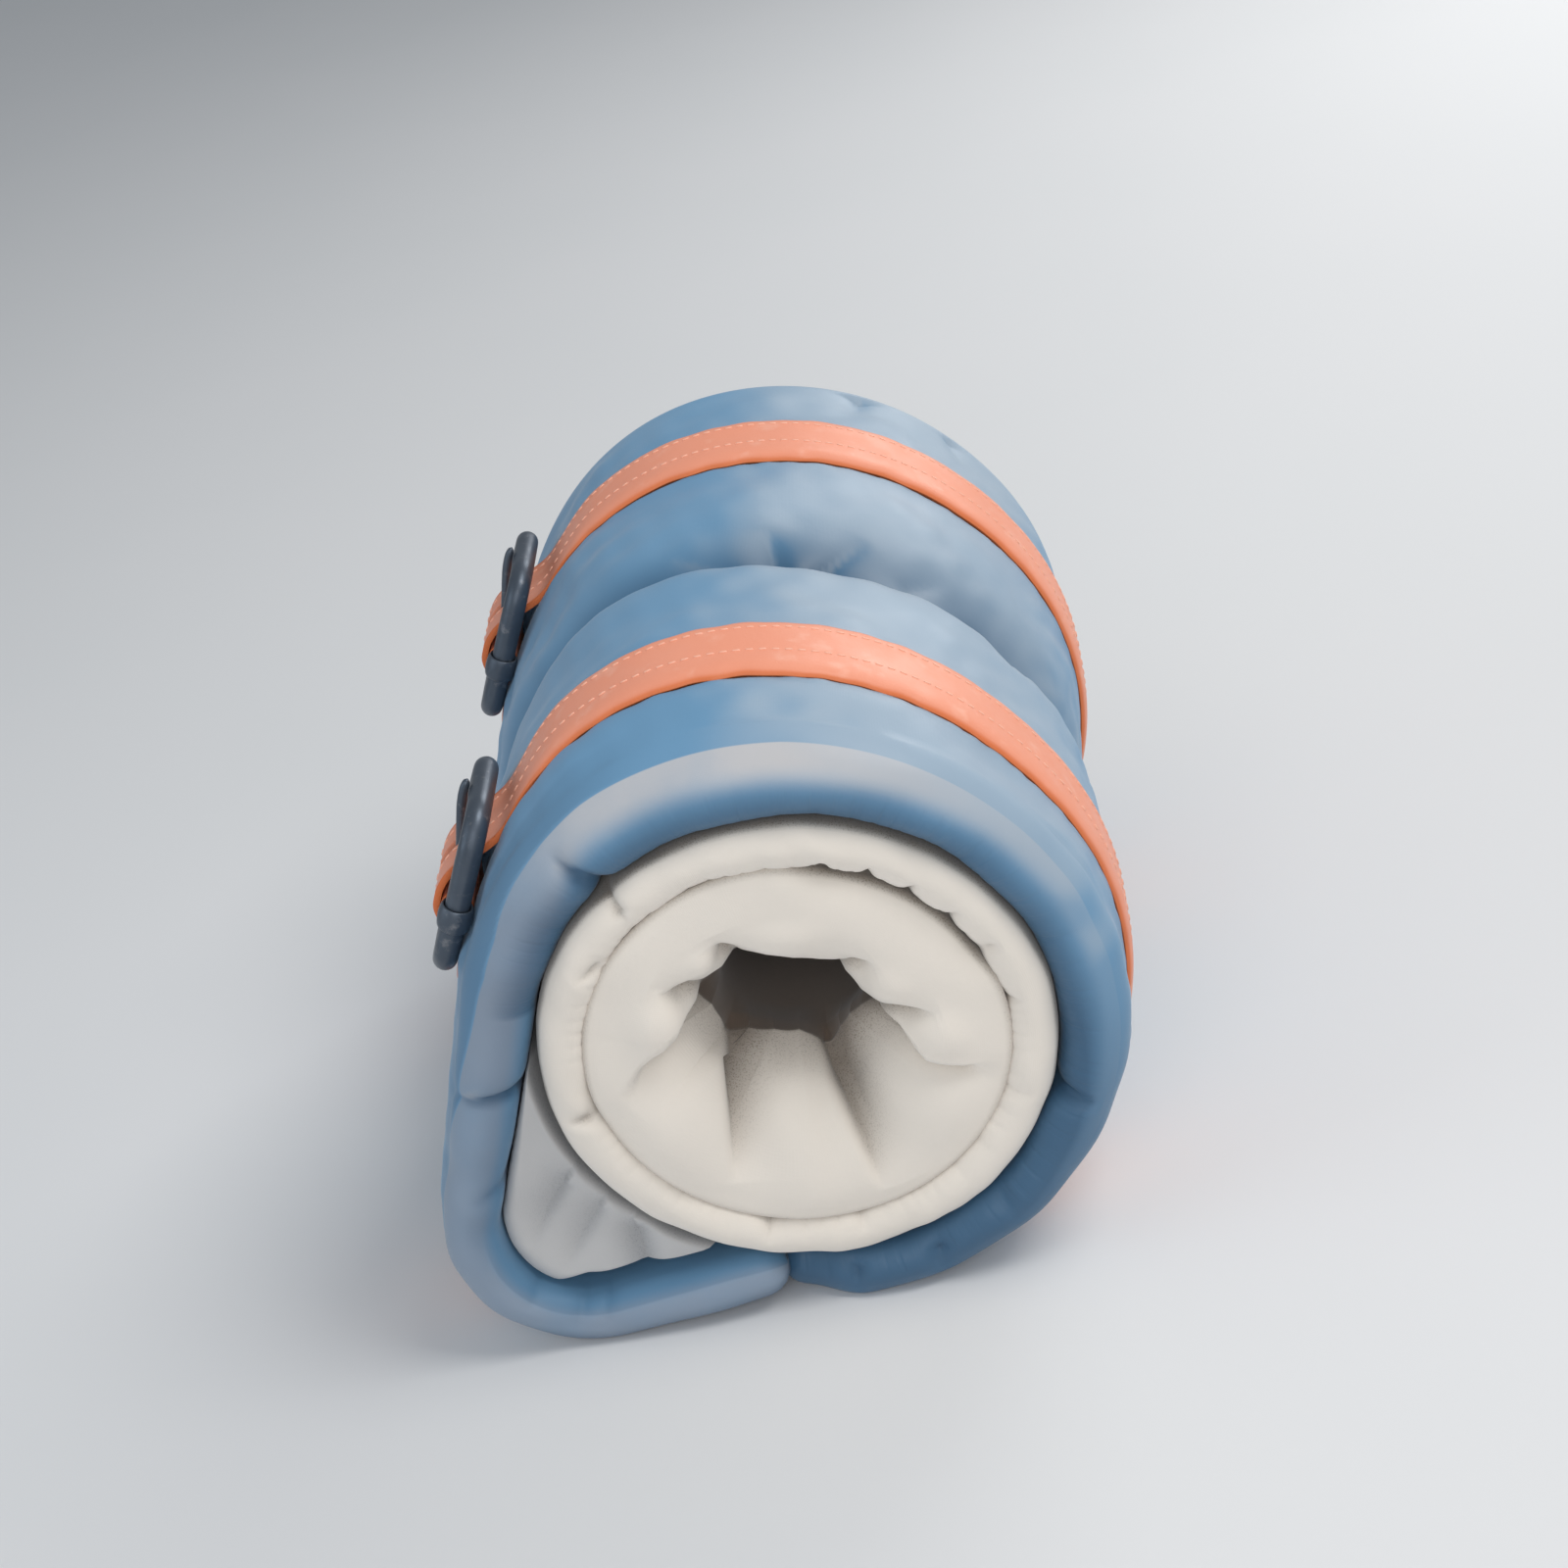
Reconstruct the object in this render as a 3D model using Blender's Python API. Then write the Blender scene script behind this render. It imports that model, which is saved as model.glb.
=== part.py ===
"""Rolled sleeping bag held by two buckled straps.

Metres, +Z up, the bag's roll axis along +Y. The origin is at the middle of the bounding box's underside.
Cross-sections are worked out in a plane whose origin is the roll axis, x to the right and z up, seen from
the near end, and are then carried to their place along Y.
"""

from math import acos, atan2, cos, hypot, pi, radians, sin, sqrt

import bmesh
import bpy
import numpy as np

# Roll
ROLL_RADIUS = 0.152
ROLL_LENGTH = 0.410
TURN_THICKNESS = 0.033
FLAP_THICKNESS = 0.0265
START_ANGLE = radians(-105.5)
FLOOR_SAG = 0.002
LAYER_GAP = 0.0004

# Fuller padding over the top of the roll, between its two rims
CROWN_RISE_NEAR = 0.0135
CROWN_RISE_FAR = 0.0070
CROWN_ANGLE = radians(97)
CROWN_SPAN_RIGHT = radians(68)
CROWN_SPAN_LEFT = radians(52)
CROWN_NEAR_END = 0.0415
CROWN_FAR_START = 0.0165
CROWN_FAR_END = 0.0045

# Slack loop at the turn's loose end
SLACK_RADIUS = 0.066
SLACK_OVERHANG = 0.0358
TIP_SLOPE = radians(6.5)
TIP_GAP = 0.0012

# Crease round the middle of the roll
CREASE_PLACE = 0.185
CREASE_HALF_WIDTH = 0.026
CREASE_DEPTH_TOP = 0.009
CREASE_DEPTH_SIDE = 0.003

# Cream lining turns, which sag a little inside the outer turn
LINING_DROP = 0.0055
LINING_THICKNESS = 0.0235
LINING_RECESS = 0.001
MOUTH_DEPTH = 0.040
MOUTH_HALF_WIDTH = 0.039
MOUTH_HALF_HEIGHT = 0.025
CORE_HALF_WIDTH = 0.035
CORE_HALF_HEIGHT = 0.0225
MOUTH_TILT = radians(-13)
MOUTH_RIM = 0.0145
BUNCH_RECESS = 0.024

# Straps
STRAP_WIDTH = 0.044
STRAP_THICKNESS = 0.0032
STRAP_PLACES = (0.069, 0.3125)
STRAP_EMBED = 0.0012
STRAP_CLEARANCE = 0.0005
LAYER_SPACE = 0.0003
GROOVE_SHOULDER = 0.005
TURN_BACK_THICKNESS = 0.0016
TURN_BACK_LENGTH = 0.011
TAIL_LENGTH = 0.030
TAIL_POINT = 0.014
BUCKLE_SINK = 0.0046
SINK_LENGTH = 0.040
SINK_ROOM = 1.15

# Buckles
BUCKLE_ANGLE = radians(153)
BAR_OFFSET = 0.0070
FRAME_UPPER_HEIGHT = 0.0500
FRAME_LOWER_HEIGHT = 0.0305
FRAME_HALF_WIDTH = 0.0302
FRAME_CORNER = 0.0150
ROD_RADIUS = 0.0058
BAR_RADIUS = 0.0040
EYE_WALL = 0.0014
EYE_LENGTH = 0.012
RUNNING_GAP = 0.0003

# Prongs
PRONG_RADIUS = 0.0026
PRONG_TIP_RADIUS = 0.0021
PRONG_OVERHANG = 0.0040
PRONG_EYE_WALL = 0.0024
PRONG_EYE_WIDTH = 0.008
PRONG_LIFT = radians(35)
BUCKLE_ROCK = radians(5)
SLOT_CLEARANCE = 0.0009

# Zip round the far end
TAPE_THICKNESS = 0.0008
TAPE_WIDTH = 0.007
CHAIN_WIDTH = 0.006
CHAIN_HEIGHT = 0.0026
CHAIN_SIDE_GAP = 0.0006
STOP_LENGTH = 0.005
STOP_WALL = 0.0010
SLIDER_ANGLE = radians(140)
SLIDER_LENGTH = 0.013
SLIDER_WALL = 0.0013
SLIDER_CLEARANCE = 0.0005
BRIDGE_HEIGHT = 0.0022
BRIDGE_WALL = 0.0010
BRIDGE_SPAN = 0.0076
BRIDGE_WIDTH = 0.0022
PULL_LENGTH = 0.026
PULL_WIDTH = 0.0075
PULL_THICKNESS = 0.0012

SIDES = 10

SHELL_BLUE = (0.196, 0.352, 0.527)
LINING_CREAM = (0.701, 0.658, 0.604)
BUNCH_GREY = (0.386, 0.397, 0.423)
STRAP_CORAL = (0.905, 0.366, 0.250)
BUCKLE_GREY = (0.105, 0.114, 0.138)
TAPE_BLUE = (0.060, 0.120, 0.210)
ZIP_DARK = (0.030, 0.045, 0.070)


# Places that follow from the sizes
FLOOR = -(ROLL_RADIUS - FLOOR_SAG)
SLACK_X = -(ROLL_RADIUS + SLACK_OVERHANG - SLACK_RADIUS)
SLACK_Z = -(ROLL_RADIUS - SLACK_RADIUS)
ZIP_PLATE = LAYER_SPACE + CHAIN_HEIGHT + SLIDER_CLEARANCE
ZIP_PROUD = ZIP_PLATE + SLIDER_WALL + BRIDGE_HEIGHT + BRIDGE_WALL
AXIS_X = SLACK_OVERHANG / 2
AXIS_Z = -FLOOR
NEAR_Y = -(ROLL_LENGTH + ZIP_PROUD) / 2
INNER_RADIUS = ROLL_RADIUS - TURN_THICKNESS
OUTER_LINING_RADIUS = INNER_RADIUS - LAYER_GAP
INNER_LINING_RADIUS = OUTER_LINING_RADIUS - LINING_THICKNESS - LAYER_GAP
MID_RADIUS = ROLL_RADIUS - TURN_THICKNESS / 2
LINING_CENTRE = np.array([0, -LINING_DROP])
ZIP_CENTRE = LINING_CENTRE / 2


def remove_everything():
    """Empty the scene and its meshes."""
    for thing in list(bpy.data.objects):
        bpy.data.objects.remove(thing, do_unlink=True)
    for mesh in list(bpy.data.meshes):
        bpy.data.meshes.remove(mesh)


def principled(name, colour, roughness, metallic=0.0):
    """A plain material of the piece's own colour."""
    material = bpy.data.materials.new(name)
    material.use_nodes = True
    shader = material.node_tree.nodes["Principled BSDF"]
    shader.inputs["Base Color"].default_value = (*colour, 1.0)
    shader.inputs["Roughness"].default_value = roughness
    shader.inputs["Metallic"].default_value = metallic
    return material


def add_object(name, bm, material, smooth_angle=50):
    """Close a bmesh into a named object with its material."""
    bmesh.ops.recalc_face_normals(bm, faces=bm.faces)
    mesh = bpy.data.meshes.new(name)
    bm.to_mesh(mesh)
    bm.free()
    mesh.shade_smooth()
    mesh.set_sharp_from_angle(angle=radians(smooth_angle))
    thing = bpy.data.objects.new(name, mesh)
    bpy.context.scene.collection.objects.link(thing)
    if material is not None:
        mesh.materials.append(material)
    return thing


def loft(rings, closed=False):
    """Skin a stack of rings (stations, points, xyz); an open stack gets end faces."""
    stations, count, _ = rings.shape
    bm = bmesh.new()
    verts = [[bm.verts.new(point) for point in ring] for ring in rings]
    spans = stations if closed else stations - 1
    for i in range(spans):
        ring, following = verts[i], verts[(i + 1) % stations]
        for j in range(count):
            k = (j + 1) % count
            bm.faces.new((ring[j], ring[k], following[k], following[j]))
    if not closed:
        ends = [bm.faces.new(verts[0][::-1]), bm.faces.new(verts[-1])]
        bmesh.ops.triangulate(bm, faces=ends, ngon_method="EAR_CLIP")
    return bm


def hide_cutter(cutter):
    """Keep a cutter out of the finished model."""
    cutter.hide_render = True
    cutter.display_type = "WIRE"
    return cutter


def cut(thing, cutter, operation="DIFFERENCE"):
    """Give an object a Boolean with a cutter."""
    boolean = thing.modifiers.new(cutter.name, "BOOLEAN")
    boolean.operation = operation
    boolean.solver = "EXACT"
    boolean.object = hide_cutter(cutter)


def world(plane_points, y):
    """Cross-section points (x, z) about the roll axis and depths from the near end, as world points."""
    plane_points = np.asarray(plane_points, float)
    y = np.broadcast_to(np.asarray(y, float), plane_points.shape[:-1])
    return np.stack(
        [plane_points[..., 0] + AXIS_X, y + NEAR_Y, plane_points[..., 1] + AXIS_Z], axis=-1
    )


def polar(radius, angle):
    """Cross-section points at a radius and angle about the roll axis."""
    angle = np.asarray(angle, float)
    return np.stack([radius * np.cos(angle), radius * np.sin(angle)], axis=-1)


def smooth_step(value, low, high):
    """0 below low, 1 above high, and an S curve between."""
    share = np.clip((np.asarray(value, float) - low) / (high - low), 0, 1)
    return share * share * (3 - 2 * share)


def crown_rise(angle, y):
    """How far the outer face stands out over the top of the roll, at an angle and a depth."""
    span = np.where(angle > CROWN_ANGLE, CROWN_SPAN_LEFT, CROWN_SPAN_RIGHT)
    share = 1 - np.clip((angle - CROWN_ANGLE) / span, -1, 1) ** 2
    level = STRAP_WIDTH / 2 + GROOVE_SHOULDER
    slope = [STRAP_PLACES[0] + level, STRAP_PLACES[1] - level]
    rise = np.interp(y, slope, [CROWN_RISE_NEAR, CROWN_RISE_FAR])
    near = smooth_step(y, 0, CROWN_NEAR_END)
    far = 1 - smooth_step(y, ROLL_LENGTH - CROWN_FAR_START, ROLL_LENGTH - CROWN_FAR_END)
    return share**2 * rise * near * far


def tangent_angle():
    """The angle at which the turn's outer face leaves the roll and runs straight to the slack loop."""
    distance = hypot(SLACK_X, SLACK_Z)
    towards = atan2(SLACK_Z, SLACK_X) + 2 * pi
    return towards - acos((ROLL_RADIUS - SLACK_RADIUS) / distance)


LEAVE_ANGLE = tangent_angle()
SLACK_CENTRE = np.array([SLACK_X, SLACK_Z])


def turn_outline(arc_angles, straight_steps=6, slack_steps=10, tip_steps=4):
    """Outer face of the turn: an arc, a tangent, the slack loop's arc and the straight tip.

    Returns points, outward normals and the thickness at each station.
    """
    arc = polar(ROLL_RADIUS, arc_angles)
    slack_angles = np.linspace(LEAVE_ANGLE, 1.5 * pi + TIP_SLOPE, slack_steps + 1)
    slack = SLACK_CENTRE + polar(SLACK_RADIUS, slack_angles)
    share = np.linspace(0, 1, straight_steps + 1)[1:-1, None]
    straight = arc[-1] + (slack[0] - arc[-1]) * share
    along_tip = np.array([cos(TIP_SLOPE), sin(TIP_SLOPE)])
    start_half = (TURN_THICKNESS + LINING_DROP * sin(START_ANGLE)) / 2
    start_apex = (ROLL_RADIUS - start_half) * cos(START_ANGLE)
    tip_middle = slack[-1] + np.array([-along_tip[1], along_tip[0]]) * FLAP_THICKNESS / 2
    tip_length = (start_apex - TIP_GAP - tip_middle[0]) / along_tip[0]
    round_off = FLAP_THICKNESS * 0.42
    reach = np.concatenate(
        [
            np.linspace(0, tip_length - round_off, tip_steps)[1:],
            tip_length - round_off * np.array([0.55, 0.2, 0.0]),
        ]
    )
    tip = slack[-1] + reach[:, None] * along_tip
    points = np.concatenate([arc, straight, slack, tip])
    normals = np.concatenate(
        [
            polar(1, arc_angles),
            np.repeat(polar(1, LEAVE_ANGLE)[None], len(straight), 0),
            polar(1, slack_angles),
            np.repeat(polar(1, 1.5 * pi + TIP_SLOPE)[None], len(tip), 0),
        ]
    )
    first = len(arc) - 1
    last = first + straight_steps
    on_roll = np.interp(np.arange(len(points)), [first, last], [1, 0])
    round_thickness = TURN_THICKNESS + LINING_DROP * normals[:, 1]
    thickness = FLAP_THICKNESS + (round_thickness - FLAP_THICKNESS) * on_roll
    from_tip = np.full(len(points), np.inf)
    from_tip[-len(tip):] = tip_length - reach
    from_start = ROLL_RADIUS * (np.concatenate([arc_angles, np.full(len(points) - len(arc), 9.0)]))
    from_start = from_start - ROLL_RADIUS * START_ANGLE
    fullness = np.minimum(
        end_fullness(from_tip, round_off), end_fullness(from_start, TURN_THICKNESS * 0.42)
    )
    return points, normals, thickness, fullness


def end_fullness(distance, round_off):
    """How full a padded strip is at a distance from its rounded end: a quarter circle up to 1."""
    share = np.clip(1 - np.maximum(distance, 0) / round_off, 0, 1)
    return np.maximum(np.sqrt(1 - share * share), 0.16)


def strap_band(y):
    """1 under a strap, falling to 0 at the groove's shoulders."""
    band = np.zeros_like(np.asarray(y, float))
    for place in STRAP_PLACES:
        beyond = np.abs(y - place) - STRAP_WIDTH / 2 - STRAP_CLEARANCE
        band = np.maximum(band, 1 - np.clip(beyond / (GROOVE_SHOULDER - 0.001), 0, 1))
    return band


def crease_depth(points, y):
    """Depth of the crease round the middle of the roll, deepest on top."""
    height = np.clip(points[..., 1] / ROLL_RADIUS, 0, 1)
    depth = CREASE_DEPTH_SIDE + (CREASE_DEPTH_TOP - CREASE_DEPTH_SIDE) * height**1.5
    across = np.clip(1 - np.abs(y - CREASE_PLACE) / CREASE_HALF_WIDTH, 0, 1)
    return depth * across**1.6


def sink_depth(past_foot):
    """Extra depth of the strap under the buckle's lower bar, by distance past the buckle's foot."""
    lower = FRAME_LOWER_HEIGHT - BAR_OFFSET
    rise = smooth_step(past_foot, -BAR_OFFSET, lower * 0.75)
    fall = 1 - smooth_step(past_foot, lower + 0.004, lower + SINK_LENGTH)
    return (BUCKLE_SINK - STRAP_EMBED) * rise * fall


def foot_distance(points):
    """Distance past the buckle's foot, counter-clockwise, along the roll or the straight below it."""
    angle = np.arctan2(points[..., 1], points[..., 0])
    angle = np.where(angle < 0, angle + 2 * pi, angle)
    leave = polar(ROLL_RADIUS, LEAVE_ANGLE)
    straight = np.array([-sin(LEAVE_ANGLE), cos(LEAVE_ANGLE)])
    on_arc = ROLL_RADIUS * (angle - BUCKLE_ANGLE)
    on_straight = ROLL_RADIUS * (LEAVE_ANGLE - BUCKLE_ANGLE) + (points - leave) @ straight
    return np.where(angle > LEAVE_ANGLE, on_straight, on_arc)


def turn_side_depths():
    """Depths along the turn's outer side: straps' grooves, crease and the plain stretches."""
    half = STRAP_WIDTH / 2 + STRAP_CLEARANCE
    offsets = np.array([-half - GROOVE_SHOULDER, -half, half, half + GROOVE_SHOULDER])
    grooves = [place + offsets for place in STRAP_PLACES]
    crease = CREASE_PLACE + CREASE_HALF_WIDTH * np.array([-1, -0.5, 0, 0.5, 1])
    return np.sort(np.concatenate([*grooves, crease]))


def turn_arc_angles():
    """Angles of the stations round the roll, closer at the turn's rounded start and beside the buckles."""
    start_round = TURN_THICKNESS * 0.42 / ROLL_RADIUS
    beside_buckle = np.linspace(BUCKLE_ANGLE - radians(7), LEAVE_ANGLE, 6)
    return np.concatenate(
        [
            START_ANGLE + start_round * np.array([0.0, 0.2, 0.55]),
            np.linspace(START_ANGLE + start_round, beside_buckle[0], 35)[:-1],
            beside_buckle,
        ]
    )


def turn_rings():
    """Rings of the padded turn: a stadium section with grooves and crease, carried along its outline."""
    points, normals, thickness, fullness = turn_outline(turn_arc_angles())
    side = turn_side_depths()
    quarter = np.radians([0, 24, 48, 70])
    inner_side = np.linspace(0.96, 0.04, 4) * ROLL_LENGTH
    rings = []
    for point, normal, full_thickness, full in zip(points, normals, thickness, fullness):
        half = full_thickness / 2
        reach = half * full
        near_centre, far_centre = half, ROLL_LENGTH - half
        outer = np.sin(quarter) * reach
        back = np.cos(quarter) * reach
        depth = crease_depth(point, side)
        groove = STRAP_EMBED + STRAP_CLEARANCE + sink_depth(foot_distance(point)) * SINK_ROOM
        depth = np.maximum(depth, groove * strap_band(side)) * (full if full > 0.9 else 0)
        across = np.concatenate(
            [outer, reach - depth, outer[::-1], -outer[1:], -np.full(4, reach), -outer[:0:-1]]
        )
        along = np.concatenate(
            [
                near_centre - back,
                side,
                far_centre + back[::-1],
                far_centre + back[1:],
                np.clip(inner_side, half, ROLL_LENGTH - half),
                near_centre - back[:0:-1],
            ]
        )
        middle = point - normal * half
        crown = crown_rise(atan2(point[1], point[0]), along) * np.clip(across / half, 0, 1)
        plane = middle + (across + crown)[:, None] * normal
        strap_floor = FLOOR + (STRAP_THICKNESS + STRAP_CLEARANCE) * strap_band(along)
        plane[:, 1] = np.maximum(plane[:, 1], strap_floor)
        rings.append(world(plane, along))
    return np.array(rings)


def make_outer_turn(material):
    """The blue padded turn with its slack loop."""
    add_object("outer_turn", loft(turn_rings()), material)


def make_outer_lining(material):
    """The outer cream turn: a padded sleeve with full rims."""
    angles = np.linspace(0, 2 * pi, 40, endpoint=False)
    half = LINING_THICKNESS / 2
    middle = OUTER_LINING_RADIUS - half
    quarter = np.radians([0, 30, 60, 90])
    across = np.concatenate([np.sin(quarter), np.sin(quarter)[::-1], -np.sin(quarter[1:]), -np.sin(quarter[:0:-1])])
    back = np.cos(quarter)
    near = LINING_RECESS + half - half * back
    far = ROLL_LENGTH - LINING_RECESS - half + half * back
    along = np.concatenate([near, far[::-1], far[1:], near[:0:-1]])
    rings = np.array(
        [world(LINING_CENTRE + (middle + across * half)[:, None] * polar(1, a), along) for a in angles]
    )
    add_object("lining_outer_turn", loft(rings, closed=True), material)


def mouth_radius(angle, half_width, half_height):
    """Radius of the tilted oval hole at an angle."""
    turned = angle - MOUTH_TILT
    return 1 / sqrt((cos(turned) / half_width) ** 2 + (sin(turned) / half_height) ** 2)


def make_inner_lining(material):
    """The inner cream turn: full rim, funnel mouth and the oval core hole right through."""
    angles = np.linspace(0, 2 * pi, 40, endpoint=False)
    rim = MOUTH_RIM
    quarter = np.radians([0, 35, 68])
    funnel = np.array([0.12, 0.34, 0.62, 0.88])
    rings = []
    for angle in angles:
        crest = INNER_LINING_RADIUS - rim
        core = mouth_radius(angle, CORE_HALF_WIDTH, CORE_HALF_HEIGHT)
        throat = mouth_radius(angle, MOUTH_HALF_WIDTH, MOUTH_HALF_HEIGHT)
        rim_radii = crest + rim * np.sin(quarter)
        rim_depths = LINING_RECESS + rim * (1 - np.cos(quarter))
        funnel_radii = crest + (throat - crest) * funnel
        funnel_depths = LINING_RECESS + MOUTH_DEPTH * funnel**1.8
        near_outer = np.stack([rim_radii, rim_depths], axis=1)
        mouth = np.stack([funnel_radii, funnel_depths], axis=1)
        side = np.array([[INNER_LINING_RADIUS, LINING_RECESS + rim]])
        throat_end = np.array([[throat, LINING_RECESS + MOUTH_DEPTH], [core, LINING_RECESS + MOUTH_DEPTH * 1.7]])
        near = np.concatenate([near_outer, side])
        far = near[::-1] * [1, -1] + [0, ROLL_LENGTH]
        far_mouth = mouth * [1, -1] + [0, ROLL_LENGTH]
        far_throat = throat_end * [1, -1] + [0, ROLL_LENGTH]
        section = np.concatenate([near, far, far_mouth, far_throat, throat_end[::-1], mouth[::-1]])
        dropped = smooth_step(section[:, :1], throat, crest)
        rings.append(world(LINING_CENTRE * dropped + section[:, :1] * polar(1, angle), section[:, 1]))
    add_object("lining_inner_turn", loft(np.array(rings), closed=True), material)


def make_bunch(material):
    """Lining bunched in the slack loop, between the loop's inner face and the cream turn."""
    arc_angles = np.array([LEAVE_ANGLE])
    points, normals, thickness, _ = turn_outline(arc_angles, 4, 10, 3)
    count = 1 + 4 + 10
    inner_face = points[2:count] - normals[2:count] * (thickness[2:count, None] + LAYER_GAP)
    tip_end = inner_face[-1] + np.array([cos(TIP_SLOPE), sin(TIP_SLOPE)]) * SLACK_RADIUS * 0.28
    loop_face = np.concatenate([inner_face, tip_end[None]])
    angles = np.arctan2(loop_face[:, 1], loop_face[:, 0])
    angles = np.where(angles < 0, angles + 2 * pi, angles)
    ring_face = LINING_CENTRE + polar(INNER_RADIUS + LAYER_GAP, np.linspace(angles[-1], angles[0], 12))
    outline = np.concatenate([loop_face, ring_face])
    centre = outline.mean(axis=0)
    soft = 0.010
    rings = []
    for depth, shrink in ((0, 0.82), (soft * 0.3, 0.94), (soft, 1.0)):
        rings.append((BUNCH_RECESS + depth, shrink))
    rings += [(ROLL_LENGTH - depth, shrink) for depth, shrink in rings[::-1]]
    skins = np.array([world(centre + (outline - centre) * shrink, depth) for depth, shrink in rings])
    add_object("lining_bunch", loft(skins), material)


FOOT_NORMAL = polar(1, BUCKLE_ANGLE)
FOOT_UP = polar(1, BUCKLE_ANGLE - pi / 2)
LOWER_FOOT = FRAME_LOWER_HEIGHT - BAR_OFFSET
BUCKLE_STACK = (
    2 * STRAP_THICKNESS + TURN_BACK_THICKNESS + 3 * LAYER_SPACE + ROD_RADIUS
)
FRAME_STAND = sqrt(ROLL_RADIUS**2 - LOWER_FOOT**2) - BUCKLE_SINK + BUCKLE_STACK


def buckle(up, out):
    """A buckle point: distance up from the centre bar and out from the frame's plane."""
    up = np.asarray(up, float)[..., None]
    out = np.asarray(out, float)[..., None]
    return FOOT_NORMAL * (FRAME_STAND + out) + FOOT_UP * (up + BAR_OFFSET)


def bezier(start, start_handle, end_handle, end, steps):
    """Points along a cubic curve, both ends included; handles are in shares of the span between them."""
    share = np.linspace(0, 1, steps + 1)[:, None]
    rest = 1 - share
    span = np.linalg.norm(end - start)
    return (
        rest**3 * start
        + 3 * rest**2 * share * (start + start_handle * span)
        + 3 * rest * share**2 * (end + end_handle * span)
        + share**3 * end
    )


def path_normals(points):
    """Left-hand normals along an open path, lengthened at bends so that offsets keep their thickness."""
    steps = np.diff(points, axis=0)
    steps /= np.linalg.norm(steps, axis=1)[:, None]
    before = np.concatenate([steps[:1], steps])
    after = np.concatenate([steps, steps[-1:]])
    left = np.stack([-(before + after)[:, 1], (before + after)[:, 0]], axis=1)
    left /= np.linalg.norm(left, axis=1)[:, None]
    flat = np.stack([-before[:, 1], before[:, 0]], axis=1)
    return left / np.maximum((left * flat).sum(axis=1), 0.5)[:, None]


def outline_after_foot(distance):
    """Nominal outer face and normal at distances past the buckle's foot, on the arc or the straight."""
    arc_end = ROLL_RADIUS * (LEAVE_ANGLE - BUCKLE_ANGLE)
    angle = BUCKLE_ANGLE + np.minimum(distance, arc_end) / ROLL_RADIUS
    straight = np.array([-sin(LEAVE_ANGLE), cos(LEAVE_ANGLE)])
    past = np.maximum(distance - arc_end, 0)
    return polar(ROLL_RADIUS, angle) + past[:, None] * straight, polar(1, angle)


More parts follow.
